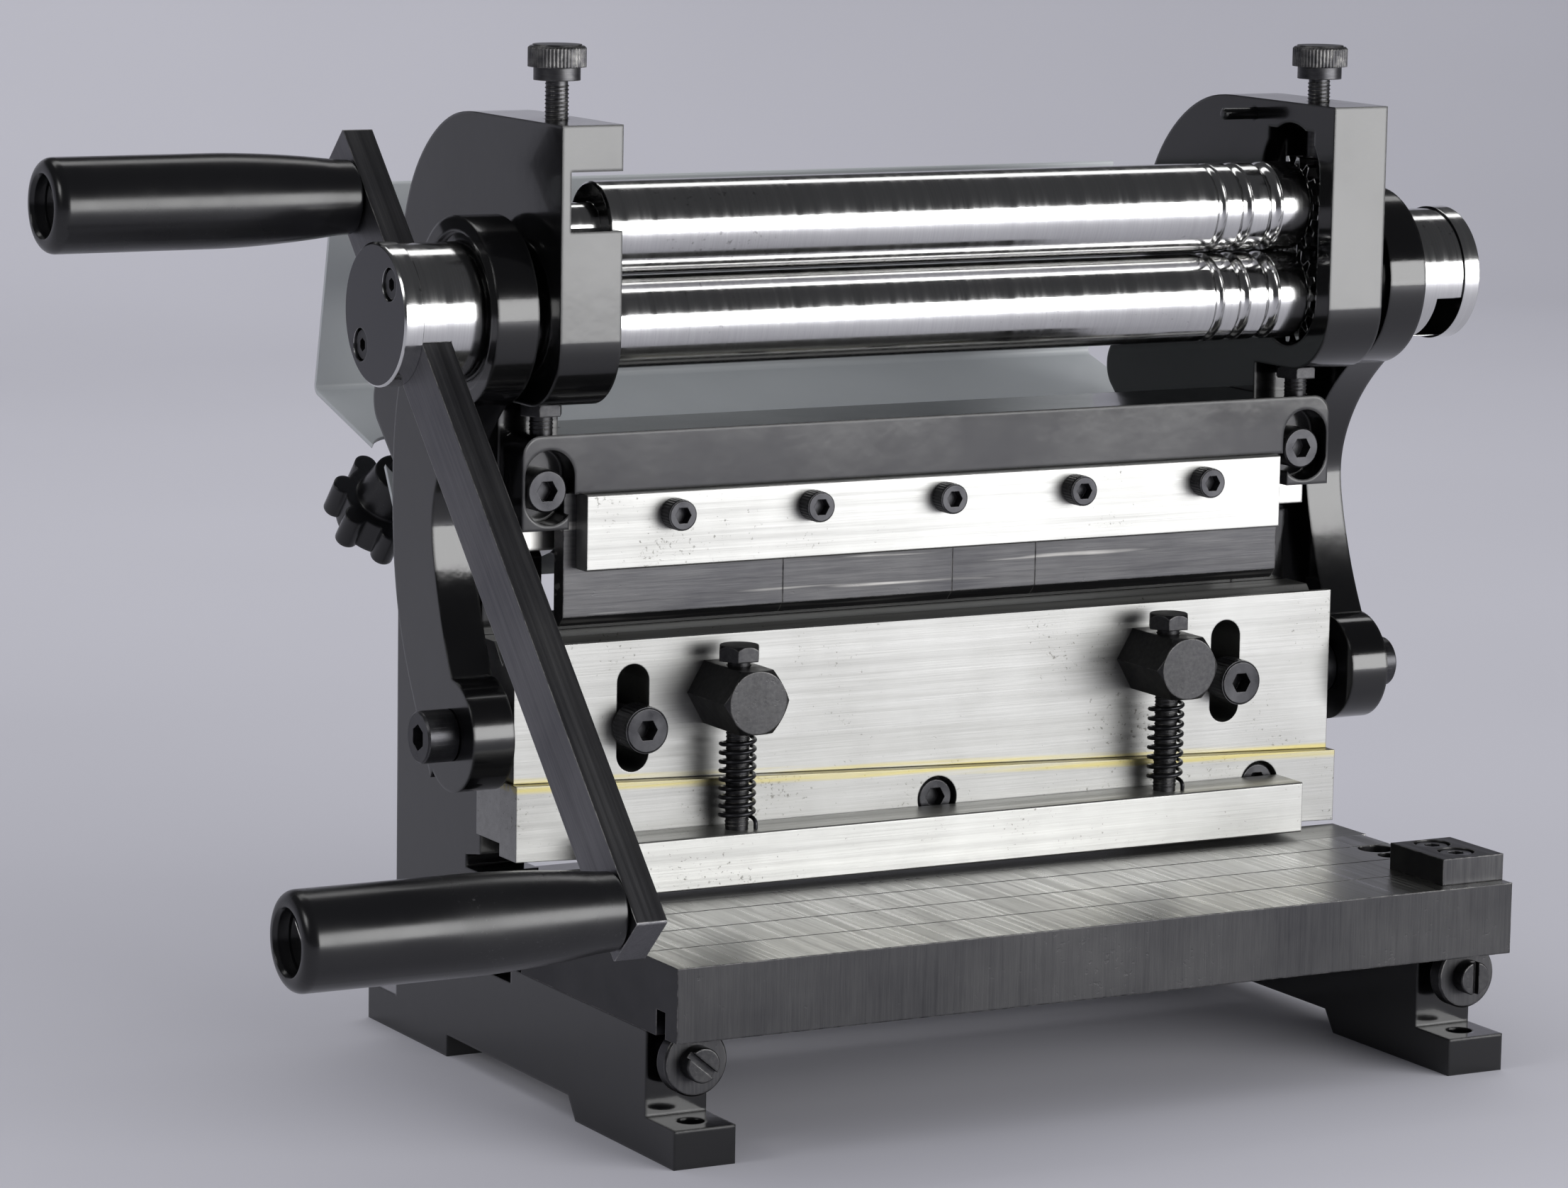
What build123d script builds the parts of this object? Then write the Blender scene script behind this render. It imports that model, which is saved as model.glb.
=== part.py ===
from build123d import *
from math import cos, pi, radians, sin, sqrt
import os

# Bench machine for small sheet metal: slip rolls on top, a press brake below them
# and a shear at table height, all driven by one cranked lever.
# Millimetres. X runs left to right along the rolls, Y runs from the table to the
# back, Z is up from the bench. The plan origin is the centre of the foot bolts.

# side frames
frame_in = 105.4          # inner faces, from the middle of the machine
frame_out = 122.2         # outer faces
frame_mid = (frame_in + frame_out) / 2
head_front = -22.5
head_top = 247.8
head_under = 176.5
head_corner = 17.5        # rounding under the head
column_front = 21.0       # machined face that the ram slides on
seat_front = 12.5         # machined face that the brake beam is bolted to
seat_low = 137.0
rear_edge = 72.0
foot_top = 9.8
foot_front = -88.6
foot_rear = 89.5
pillar_front = -73.2
arm_top = 31.4
arch_top = 5.8
arch_front, arch_rear = -35.2, 40.1
arch_slope = 4.2          # run of the sloping front end of the arch
crown_start = 27.0        # where the flat top of the head ends
crown_points = ((40.5, 246.1), (54.8, 238.6), (65.3, 226.8), (71.5, 211.0), (76.0, 193.0), (84.0, 175.0))
crown_way = (0.62, -0.79)
nose_middle = (88.2, 168.5)
waist_point = (72.4, 143.0)
waist_low = 138.0
waist_way = (-0.5, -0.86)
seat_rear, seat_floor = 2.4, 27.5       # seat of the table behind the pillar
relief_y, relief_z = 29.5, (52.6, 56.0, 57.5)
column_high = 134.0
plate_rear, plate_low, plate_high = 34.0, 62.0, 117.5
tie_front, tie_rear, tie_low, tie_high = 50.0, 62.0, 14.0, 44.0
tie_round = 2.0
top_screw_bore, foot_screw_bore, seat_screw_bore = 3.1, 3.1, 3.0
rear_screw_bore, rear_screw_deep = 2.0, 12.0
plug_z = 99.0
stop_pin_r, stop_pin_y, stop_pin_z = 1.6, 16.0, 243.6    # pin that keeps the upper roll in place
stop_pin_in, stop_pin_deep = 95.0, 8.0
foot_hole_x = frame_mid
foot_hole_y = 81.0
foot_hole_r = 3.5

# rolls
roll_r = 11.75
roll_y = -2.1
lower_z = 196.5
upper_z = 220.4
roll_half = frame_in - 1.0
wire_grooves = ((76.7, 1.5), (84.6, 1.9), (93.6, 2.3))   # place along X, groove radius
lower_journal = 8.0
upper_journal = 6.5
run_gap = 0.1             # running clearance of every journal in its bore
roll_lift = 8.0           # how far the upper roll rises when its screws are backed off
pocket_half = 11.0        # half width of the upper bearing pockets
pocket_out = frame_out - 2.6
slip_low, slip_high = 221.5, 236.3   # open notch that the upper roll slips out of
gear_teeth = 16
gear_pitch_r = (upper_z - lower_z) / 2
gear_in, gear_wide = frame_in + 0.6, 4.6
gear_recess = frame_in + 5.8
addendum, dedendum = 1.15, 1.45
tooth_root_half, tooth_tip_half = 0.30, 0.125      # half widths of a tooth, as shares of the pitch
roll_bevel = 0.6
bearing_low = upper_z - 11.8
thumb_r, thumb_high, thumb_bevel = 7.35, 5.2, 0.5
thumb_collar = {-1: 257.6, 1: 254.0}    # underside of the knurled screws, left and right
thumb_collar_r, thumb_stud_r = 5.9, 2.8
thumb_flutes, flute_size = 48, 0.55
recess_r = gear_pitch_r + addendum + 0.9

# crank: the hubs sit off the axis of the lower roll and carry the rods
throw = 7.0
throw_angle = 30.0        # above the horizontal, towards the back, at rest
hub_y = roll_y + throw * cos(radians(throw_angle))
hub_z = lower_z + throw * sin(radians(throw_angle))
hub_r = 17.5
hub_in, hub_long = frame_out + 1.8, 31.2
hub_end = hub_in + hub_long
plate_thick = 5.2
stub_r = 6.0
rod_in, rod_thick = hub_in + 2.7, 11.4
rod_out = rod_in + rod_thick
lever_thick, lever_wide = 8.0, 16.0
lever_slope = 45.7        # degrees below the horizontal, towards the front
grip_long_at, grip_short_at = 177.0, 37.5
lever_long, lever_short = grip_long_at + 9.1, grip_short_at + 15.5    # ends of the bar, beyond the grips
grip_length = 82.0
grip_r, grip_neck_r = 11.9, 9.4
grip_recess_r, grip_recess_deep = 7.6, 7.0
spindle_r, spindle_bore, spindle_head_r = 4.0, 4.3, 7.0
plate_screw_reach = 11.9

# connecting rods
big_eye_r = 24.0
small_eye_r = 14.6
pin_y, pin_z = 6.4, 92.3
pin_r = 4.0
pin_clearance = 1.6       # the linkage is open here, so the bore clears the pin
pin_head_r, pin_head_high = 6.7, 8.4
rod_front_edge = ((-7.0, 180.5), (4.0, 171.5), (13.5, 159.0), (17.4, 146.5), (15.6, 133.5), (9.8, 116.5),
                  (2.5, 102.0))
rod_rear_edge = ((17.5, 79.5), (26.5, 95.5), (35.2, 112.5), (40.2, 132.0), (41.4, 152.0), (38.4, 176.5),
                 (30.5, 194.0), (20.0, 210.0))

# ram, blades and brake
blade_half = frame_out + 2.0
ram_half = blade_half - 0.7
ram_front, ram_rear = -0.9, 20.6
ram_top = 114.6
shear_slope = 0.036       # fall of the upper blade per mm of X
blade_top_mid, blade_low_mid = 75.2, 55.7
blade_front, blade_rear = -4.2, 5.5
blade_screw_places = (24.5 - blade_half, -1.3, blade_half - 24.5)
blade_screw_down, blade_screw_sunk = 8.0, 6.6
slot_x = frame_in - 15.6
slot_low, slot_high, slot_r = 80.4, 108.4, 4.6
guide_z = 92.5
vee_y, vee_half, vee_deep = 6.0, 5.0, 5.5
beam_half = frame_out - 0.8
beam_front, beam_rear = -0.5, 25.5
beam_low, beam_high = 152.9, 168.2
lobe_low = 144.0
jack_y = 5.0
beam_body_half = frame_in - 0.6
lobe_in = frame_in + 3.0
lobe_round = 5.0
beam_screw_z = 153.8
beam_recess, recess_low, recess_high, beam_recess_r = 7.5, 145.3, 164.5, 7.0
clamp_half = frame_in - 1.0
clamp_front, clamp_rear = -3.0, 3.3
clamp_low = 133.3
clamp_screw_z = 147.0
clamp_screws = (-79.7, -39.6, 0.0, 39.6, 79.7)
die_front, die_rear = 3.4, 8.7
die_low, die_high = 118.2, beam_low - 0.2
inch = 25.4
die_lengths = (2.5 * inch, 2.0 * inch, 1.0 * inch, 3.0 * inch)

# hold-down
boss_x, boss_z, boss_flats = 64.8, 99.9, 16.4
boss_front = -22.2
bar_half = frame_in - 0.4
bar_front, bar_rear = -17.6, -4.9
bar_low, bar_high = 51.9, 65.5
bolt_y = (bar_front + bar_rear) / 2
bolt_r = 3.0
bolt_head_gap = 1.3
wire_d = 1.1
coil_r = 4.35
coil_turns = {-1: 9.0, 1: 8.0}

# table
table_half = frame_out + 0.4
table_front, table_rear = -90.1, -4.5
table_low, table_high = 31.6, 50.3
blade_seam = -20.7
lower_blade_low = 38.0
scribe_lines = (-33.9, -51.4, -70.0)
table_holes = ((frame_mid + 1.4, -38.4, 4.9), (frame_mid - 0.2, -47.2, 3.3))    # X, Y and radius, both ends
table_hole_deep = 7.0
stop_x0, stop_x1 = table_half - 19.2, table_half - 0.2
stop_y0, stop_y1 = -86.0, -62.0
stop_high = 7.0
stop_screws = (-67.3, -78.1)
adjuster_x, adjuster_z = frame_mid, 25.0
washer_y0, washer_y1, washer_r = -83.6, -79.4, 8.6
adjuster_head_y, adjuster_head_r = -87.8, 4.4
adjuster_slot_turn = {-1: 40.0, 1: 90.0}
blade_bolt_places = (15.4 - frame_in, 0.0, frame_in - 15.4)
blade_bolt_sunk = 4.4

# rear roll, its slanted slots and its star knobs
rear_y, rear_z = 43.1, 197.5
rear_journal = 6.0
rear_tilt = 47.0          # slope of the slots below the horizontal, towards the back
slot_half = 9.0
block_half = 10.0
rear_up, rear_down = 8.0, 3.0    # travel of the rear roll along its slots
slot_depth = 11.6
lug_at, lug_half = 55.0, 7.8        # face that the star screws pass through
knob_at = 84.0            # middle of the star knob, along the slot from the roll
knob_r, knob_thick = 13.2, 10.0
guard_sheet = 1.2
guard_screw_z = 129.0
guard_low, guard_turn = 121.0, 136.0
guard_line = ((82.2, 153.0), (126.4, 165.5), (118.3, 204.2), (114.8, 222.0))
guard_bend_r = 2.0
star_lobes, lobe_r = 7, 3.1


def box(x0, x1, y0, y1, z0, z1):
    return Pos((x0 + x1) / 2, (y0 + y1) / 2, (z0 + z1) / 2) * Box(abs(x1 - x0), abs(y1 - y0), abs(z1 - z0))


def rod_x(r, x0, x1, y, z):
    return Pos((x0 + x1) / 2, y, z) * Rot(0, 90, 0) * Cylinder(r, abs(x1 - x0))


def rod_y(r, y0, y1, x, z):
    return Pos(x, (y0 + y1) / 2, z) * Rot(90, 0, 0) * Cylinder(r, abs(y1 - y0))


def rod_z(r, z0, z1, x, y):
    return Pos(x, y, (z0 + z1) / 2) * Cylinder(r, abs(z1 - z0))


def side_plate(outline, x0, x1):
    """Solid between two X places from an outline of (Y, Z) edges."""
    face = Plane.YZ.offset(min(x0, x1)) * make_face(outline)
    return extrude(face, amount=abs(x1 - x0))


def polygon(points):
    return Polyline(*points, close=True)


def mirror_to(side, shape):
    """The shape as drawn on the right, or its mirror image on the left."""
    return shape if side > 0 else mirror(shape, about=Plane.YZ)


def save(shape, name):
    export_step(shape, f"parts/{name}.step")


def join(shapes):
    return Compound(children=[solid for shape in shapes for solid in shape.solids()])


def socket_screw(head_r, head_high, shank_r, length, across_flats):
    """Socket head screw along +Z: shank down from zero, head above it."""
    head = Pos(0, 0, head_high / 2) * Cylinder(head_r, head_high)
    head = chamfer(head.edges().sort_by(Axis.Z)[-1], 0.08 * head_r)
    socket = extrude(RegularPolygon(across_flats / 2, 6, major_radius=False), amount=head_high)
    shank = Pos(0, 0, -length / 2) * Cylinder(shank_r, length)
    return head + shank - Pos(0, 0, 0.42 * head_high) * socket


def slot_prism(r, length, depth):
    """Round-ended bar along Z, for cutting slots."""
    return extrude(SlotOverall(length, 2 * r), amount=depth)


# ---------------------------------------------------------------- side frames

def lug_corner(way):
    """End of the lug's face, square to the rear axis: +1 above it, -1 below."""
    y, z = rear_axis(lug_at)
    return (y + way * lug_half * sin(radians(rear_tilt)), z + way * lug_half * cos(radians(rear_tilt)))


def frame_outline():
    above, below = lug_corner(1), lug_corner(-1)
    head = [(seat_front, seat_low), (seat_front, head_under), (head_front + head_corner, head_under)]
    corner = ThreePointArc(head[-1], (head_front + 0.293 * head_corner, head_under + 0.293 * head_corner),
                           (head_front, head_under + head_corner))
    top = Polyline((head_front, head_under + head_corner), (head_front, head_top), (crown_start, head_top))
    crown = Spline((crown_start, head_top), *crown_points, tangents=((1, 0), crown_way))
    nose = ThreePointArc(crown_points[-1], nose_middle, above)
    rear = Spline(below, waist_point, (rear_edge, waist_low), tangents=(waist_way, (0, -1)))
    foot = [(rear_edge, waist_low), (rear_edge, foot_top), (foot_rear, foot_top), (foot_rear, 0)]
    arch = [(arch_rear, 0), (arch_rear, arch_top), (arch_front + arch_slope, arch_top), (arch_front, 0)]
    pillar = [(foot_front, 0), (foot_front, foot_top), (pillar_front, foot_top), (pillar_front, arm_top)]
    seat = [(seat_rear, arm_top), (seat_rear, seat_floor), (column_front, seat_floor)]
    relief = [(column_front, relief_z[0]), (relief_y, relief_z[0]), (relief_y, relief_z[1]),
              (column_front, relief_z[2])]
    column = [(column_front, column_high), (seat_front, seat_low)]
    lower = Polyline(*foot, *arch, *pillar, *seat, *relief, *column)
    return [Polyline(*head), corner, top, crown, nose, Line(above, below), rear, lower]


def rear_axis(distance):
    """Point (Y, Z) on the line that the rear roll and its adjusting screws share."""
    return (rear_y + distance * cos(radians(rear_tilt)), rear_z - distance * sin(radians(rear_tilt)))


def on_rear_axis(x, distance):
    """Place whose +Z runs down the slot, away from the rolls."""
    y, z = rear_axis(distance)
    return Pos(x, y, z) * Rot(-(90 + rear_tilt), 0, 0)


def bearing_pocket(inner):
    return box(inner, pocket_out, roll_y - pocket_half, roll_y + pocket_half,
               upper_z - 12.0, upper_z + 12.2 + roll_lift)


def side_frame(side):
    body = side_plate(frame_outline(), frame_in, frame_out)
    body -= rod_x(lower_journal + run_gap, frame_in - 1, frame_out + 1, roll_y, lower_z)
    for y in (-foot_hole_y, foot_hole_y):
        body -= rod_z(foot_hole_r, -1, foot_top + 1, foot_hole_x, y)
    body -= bearing_pocket(frame_in - 1)
    body -= rod_z(top_screw_bore, upper_z, head_top + 1, frame_mid, roll_y)
    if side < 0:
        body -= box(frame_in - 1, pocket_out, head_front - 1, roll_y, slip_low, slip_high)
    else:
        recess = Pos(frame_in - 1, roll_y, (lower_z + upper_z + roll_lift) / 2) * Rot(0, 90, 0) * slot_prism(
            recess_r, upper_z + roll_lift - lower_z + 2 * recess_r, gear_recess - frame_in + 1)
        body -= recess
        body -= rod_x(stop_pin_r + 0.1, frame_in - 1, frame_in + stop_pin_deep, stop_pin_y, stop_pin_z)
    length = rear_up + rear_down + 2 * block_half + 0.6
    middle = (rear_down - rear_up) / 2
    body -= on_rear_axis(frame_in - 1, middle) * Box(2 * slot_depth + 2, 2 * slot_half, length)
    body -= on_rear_axis(frame_mid, lug_at - 10) * Cylinder(top_screw_bore, 64)
    body -= rod_y(foot_screw_bore, pillar_front - 1, pillar_front + 24, adjuster_x, adjuster_z)
    body -= rod_y(seat_screw_bore, seat_front - 1, seat_front + 16, frame_mid, beam_screw_z)
    for z in (guard_screw_z, plug_z):
        body -= rod_y(rear_screw_bore, rear_edge - rear_screw_deep, rear_edge + 1, frame_mid, z)
    return mirror_to(side, body)


def cross_plate():
    plate = box(-frame_in, frame_in, column_front, plate_rear, plate_low, plate_high)
    for x in (-slot_x, slot_x):
        plate -= rod_y(3.05, column_front - 1, plate_rear + 1, x, guide_z)
    return plate


def rear_tie():
    bar = box(-frame_in, frame_in, tie_front, tie_rear, tie_low, tie_high)
    return fillet(bar.edges().filter_by(Axis.X), tie_round)


def roll_pin():
    pin = rod_x(stop_pin_r, stop_pin_in, frame_in + stop_pin_deep, stop_pin_y, stop_pin_z)
    return chamfer(pin.edges().sort_by(Axis.X)[0], 0.5)


def dome_screw(x, z, seat):
    """Domed socket screw in the rear edge of a frame, its head on the seat."""
    head = Pos(x, seat + 1.2, z) * Rot(-90, 0, 0) * Cylinder(4.0, 2.4)
    head = fillet(head.edges().sort_by(Axis.Y)[-1], 1.8)
    key = Pos(x, seat + 1.0, z) * Rot(-90, 0, 0) * extrude(
        RegularPolygon(1.25, 6, major_radius=False), amount=3)
    return head + rod_y(1.9, rear_edge - 11, seat, x, z) - key


def rear_screws():
    plugs = [dome_screw(x, plug_z, rear_edge) for x in (-frame_mid, frame_mid)]
    seat = rear_edge + 0.1 + guard_sheet
    return join(plugs + [dome_screw(x, guard_screw_z, seat) for x in (-frame_mid, frame_mid)])


# ---------------------------------------------------------------- rolls

def grooved(body, z):
    for x, r in wire_grooves:
        ring = revolve(Plane.XZ * (Pos(x, roll_r + 0.25 * r) * Circle(r)), axis=Axis.X)
        body -= Pos(0, roll_y, z) * ring
    return body


def lower_roll():
    body = rod_x(roll_r, -roll_half, roll_half, roll_y, lower_z)
    body = chamfer(body.edges().sort_by(Axis.X)[0], roll_bevel)
    body = grooved(body, lower_z)
    body += rod_x(lower_journal, -hub_in + 0.4, hub_in - 0.4, roll_y, lower_z)
    return body + rod_x(stub_r, -hub_end + lever_thick + 0.6, hub_end - lever_thick - 0.6, roll_y, lower_z)


def upper_roll():
    body = rod_x(roll_r, -roll_half, roll_half, roll_y, upper_z)
    body = chamfer(body.edges().sort_by(Axis.X)[0], roll_bevel)
    body = grooved(body, upper_z)
    return body + rod_x(upper_journal, -pocket_out + 0.6, pocket_out - 0.6, roll_y, upper_z)


def gear(bore, z, turned):
    """Spur gear beside the roll end, on the roll's journal."""
    tip, root = gear_pitch_r + addendum, gear_pitch_r - dedendum
    pitch = 360.0 / gear_teeth
    points = []
    for tooth in range(gear_teeth):
        middle = tooth * pitch + turned
        for r, half in ((root, tooth_root_half), (tip, tooth_tip_half), (tip, -tooth_tip_half),
                        (root, -tooth_root_half)):
            angle = radians(middle - half * pitch)
            points.append((r * cos(angle), r * sin(angle)))
    blank = side_plate(polygon(points), gear_in, gear_in + gear_wide)
    return Pos(0, roll_y, z) * (blank - rod_x(bore, gear_in - 1, gear_in + gear_wide + 1, 0, 0))


def left_roll_bearing():
    body = box(-pocket_out + 0.3, -frame_in - 0.6, roll_y - pocket_half + 0.2, roll_y + pocket_half - 0.2,
               bearing_low, slip_low - 0.5)
    return body - rod_x(upper_journal + run_gap, -pocket_out, -frame_in, roll_y, upper_z)


def right_roll_bearing():
    body = box(gear_recess + 0.3, pocket_out - 0.3, roll_y - pocket_half + 0.2, roll_y + pocket_half - 0.2,
               bearing_low, upper_z + 12.0)
    return body - rod_x(upper_journal + run_gap, gear_recess, pocket_out, roll_y, upper_z)


def thumbscrew(side):
    """Knurled adjuster: stud, plain collar and a head with cut flutes."""
    tip = upper_z + upper_journal + 0.3 if side < 0 else upper_z + 12.3
    collar = thumb_collar[side]
    body = Cylinder(thumb_r, thumb_high)
    body = chamfer(body.edges().sort_by(Axis.Z)[-1], thumb_bevel)
    groove = Pos(thumb_r + 0.1, 0, 0) * Rot(0, 0, 45) * Box(flute_size, flute_size, thumb_high + 0.8)
    body -= [Rot(0, 0, 360 * k / thumb_flutes) * groove for k in range(thumb_flutes)]
    body = Pos(0, 0, collar + 5.9) * body
    body += rod_z(thumb_collar_r, collar, collar + 3.4, 0, 0)
    body += rod_z(thumb_collar_r + 0.3, collar + 8.5, collar + 8.9, 0, 0)
    body += rod_z(thumb_stud_r, tip, collar, 0, 0)
    return Pos(side * frame_mid, roll_y, 0) * body


# ---------------------------------------------------------------- crank, hubs and lever

def lever_place(along, x=0.0):
    """Place on the lever's middle line, +Z towards the long end, +X kept."""
    slope = radians(lever_slope)
    y, z = hub_y - along * cos(slope), hub_z - along * sin(slope)
    return Pos(x, y, z) * Rot(90 + lever_slope, 0, 0)


def hub(side):
    body = rod_x(hub_r, hub_in, hub_end, hub_y, hub_z)
    body -= rod_x(stub_r + 0.02, hub_in - 1, hub_end - lever_thick, roll_y, lower_z)
    slot = lever_place(0, hub_end - lever_thick / 2 + 0.5) * Box(lever_thick + 1, lever_wide + 0.2, 4 * hub_r)
    body -= slot
    for y, z in plate_screw_places():
        body -= rod_x(2.0, hub_end - 12, hub_end + 1, y, z)
    return mirror_to(side, body)


def plate_screw_places():
    """The two end plate screws lie across the lever, one on each side of it."""
    slope = radians(lever_slope)
    across, down = plate_screw_reach * sin(slope), plate_screw_reach * cos(slope)
    return [(hub_y + s * across, hub_z - s * down) for s in (-1, 1)]


def hub_plate(side):
    body = rod_x(hub_r + 0.5, hub_end + 0.02, hub_end + plate_thick, hub_y, hub_z)
    body = chamfer(body.edges().sort_by(Axis.X)[-1], 0.5)
    for y, z in plate_screw_places():
        body -= rod_x(4.2, hub_end + plate_thick - 4.0, hub_end + plate_thick + 1, y, z)
        body -= rod_x(2.1, hub_end - 1, hub_end + plate_thick + 1, y, z)
    return mirror_to(side, body)


def hub_plate_screws():
    screws = []
    for side in (-1, 1):
        for y, z in plate_screw_places():
            screw = socket_screw(3.9, 3.4, 1.9, 11.0, 3.0)
            screw = Pos(hub_end + plate_thick - 4.0, y, z) * Rot(0, 90, 0) * screw
            screws.append(mirror_to(side, screw))
    return join(screws)


def lever_bar():
    length = lever_long + lever_short
    middle = (lever_long - lever_short) / 2
    x = -hub_end + lever_thick / 2
    bar = lever_place(middle, x) * Box(lever_thick, lever_wide, length)
    bar = chamfer(bar.edges().filter_by(Axis.X), 0.4)
    for along in (grip_long_at, -grip_short_at):
        bar -= lever_place(along, x) * Rot(0, 90, 0) * Cylinder(spindle_r, 2 * lever_thick)
    return bar


def grip_frame(along):
    """Place at the outer face of the lever, +Z outwards along the grip."""
    return lever_place(along, -hub_end) * Rot(0, -90, 0)


def grip(along):
    """Turned handle: plain outer half, tapering towards the lever, hollow outer end."""
    gap = 0.5
    half = 0.46 * grip_length
    outer = grip_length + gap
    outline = [
        Polyline((spindle_bore, gap), (grip_neck_r - 0.8, gap)),
        ThreePointArc((grip_neck_r - 0.8, gap), (grip_neck_r - 0.23, gap + 0.23), (grip_neck_r, gap + 0.8)),
        Spline((grip_neck_r, gap + 0.8), (grip_neck_r + 0.7, 9.0), (grip_r - 0.3, half - 10), (grip_r, half),
               tangents=((0.02, 1), (0, 1))),
        Line((grip_r, half), (grip_r, outer - 3.0)),
        ThreePointArc((grip_r, outer - 3.0), (grip_r - 0.88, outer - 0.88), (grip_r - 3.0, outer)),
        Polyline((grip_r - 3.0, outer), (grip_recess_r + 0.6, outer), (grip_recess_r, outer - 1.0),
                 (grip_recess_r, outer - grip_recess_deep), (spindle_bore, outer - grip_recess_deep),
                 (spindle_bore, gap)),
    ]
    return grip_frame(along) * revolve(Plane.XZ * make_face(outline), axis=Axis.Z)


def grip_spindle(along):
    """Fixed pin through the lever: shank inside the grip, slotted head in its outer end."""
    outer = grip_length + 0.5
    body = Pos(0, 0, (outer - 6.6 - lever_thick) / 2) * Cylinder(spindle_r, outer - 6.6 + lever_thick)
    head = Pos(0, 0, outer - 5.3) * Cylinder(spindle_head_r, 2.6)
    head -= Pos(0, 0, outer - 4.0) * Box(2 * spindle_head_r + 1, 1.4, 1.6)
    return grip_frame(along) * (body + head)


# ---------------------------------------------------------------- connecting rods

def connecting_rod(side):
    """Cast rod: big eye round the hub, bowed shank, small eye on the ram's pin."""
    lower_end = Line(rod_front_edge[-1], rod_rear_edge[0])
    upper_end = Line(rod_rear_edge[-1], rod_front_edge[0])
    outline = [Spline(*rod_front_edge), lower_end, Spline(*rod_rear_edge), upper_end]
    shank = side_plate(outline, rod_in, rod_out)
    body = shank + rod_x(big_eye_r, rod_in, rod_out, hub_y, hub_z)
    body += rod_x(small_eye_r, rod_in, rod_out, pin_y, pin_z)
    body -= rod_x(hub_r + run_gap, rod_in - 1, rod_out + 1, hub_y, hub_z)
    body -= rod_x(hub_r + 2.6, rod_out - 1.4, rod_out + 1, hub_y, hub_z)
    body -= rod_x(pin_r + pin_clearance, rod_in - 1, rod_out + 1, pin_y, pin_z)
    return mirror_to(side, body)


def rod_pin(side):
    """Shoulder screw: thread in the end of the ram, plain shoulder in the rod, socket head."""
    shoulder_in = ram_half + 0.02
    screw = socket_screw(pin_head_r, pin_head_high, pin_r, rod_out + 0.3 - shoulder_in, 6.0)
    screw = Pos(rod_out + 0.3, pin_y, pin_z) * Rot(0, 90, 0) * screw
    screw += rod_x(3.15, ram_half - 14, ram_half + 0.5, pin_y, pin_z)
    collar = rod_x(7.0, shoulder_in, rod_in - 0.3, pin_y, pin_z)
    return mirror_to(side, screw + collar)


# ---------------------------------------------------------------- ram, shear and brake

def blade_line(middle, x):
    return middle - shear_slope * x


def sloped_bar(half, y0, y1, low_mid, high_mid, high_flat=None):
    """Bar along X whose lower side, and upper side if not flat, falls with the shear slope."""
    low = [blade_line(low_mid, x) for x in (-half, half)]
    high = [high_flat or blade_line(high_mid, x) for x in (-half, half)]
    corners = [(-half, low[0]), (half, low[1]), (half, high[1]), (-half, high[0])]
    face = Plane.XZ.offset(-y0) * make_face(polygon(corners))
    return extrude(face, amount=-(y1 - y0))


def ram_plate():
    body = sloped_bar(ram_half, blade_rear + 0.02, ram_rear, blade_low_mid + 3.0, 0, high_flat=ram_top)
    body += sloped_bar(ram_half, ram_front, blade_rear + 0.02, blade_top_mid + 0.1, 0, high_flat=ram_top)
    vee = polygon([(vee_y - vee_half, ram_top + 0.01), (vee_y + vee_half, ram_top + 0.01),
                   (vee_y, ram_top - vee_deep)])
    body -= side_plate(vee, -ram_half - 1, ram_half + 1)
    for x in (-slot_x, slot_x):
        length = slot_high - slot_low
        body -= Pos(x, ram_rear + 1, (slot_low + slot_high) / 2) * Rot(90, 0, 0) * Rot(0, 0, 90) * slot_prism(
            slot_r, length, ram_rear - ram_front + 2)
    for x in (-boss_x, boss_x):
        body -= rod_y(4.0, ram_front - 1, ram_front + 14, x, boss_z)
    for x in (-ram_half, ram_half):
        body -= rod_x(3.2, x - 14.5, x + 14.5, pin_y, pin_z)
    for x in blade_screw_places:
        body -= rod_y(3.0, blade_rear - 1, blade_rear + 11, x, blade_screw_z(x))
    return body


def upper_blade():
    body = sloped_bar(blade_half, blade_front, blade_rear, blade_low_mid, blade_top_mid)
    for x in blade_screw_places:
        body -= rod_y(5.9, blade_front - 1, blade_front + blade_screw_sunk, x, blade_screw_z(x))
        body -= rod_y(3.2, blade_front - 1, blade_rear + 1, x, blade_screw_z(x))
    return body


def blade_screw_z(x):
    return blade_line(blade_top_mid, x) - blade_screw_down


def upper_blade_screws():
    screws = []
    for x in blade_screw_places:
        screw = socket_screw(5.0, 5.6, 2.95, 12.0, 5.0)
        screws.append(Pos(x, blade_front + blade_screw_sunk, blade_screw_z(x)) * Rot(90, 0, 0) * screw)
    return join(screws)


def guide_screws():
    """Socket screws in the cross plate: their sleeves run in the slots of the ram."""
    screws = []
    for x in (-slot_x, slot_x):
        screw = socket_screw(6.0, 8.0, 3.0, 34.0, 5.0)
        screw = Pos(x, ram_front - 0.4, guide_z) * Rot(90, 0, 0) * screw
        screws.append(screw + rod_y(4.4, ram_front - 0.4, column_front, x, guide_z))
    return join(screws)


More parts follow.
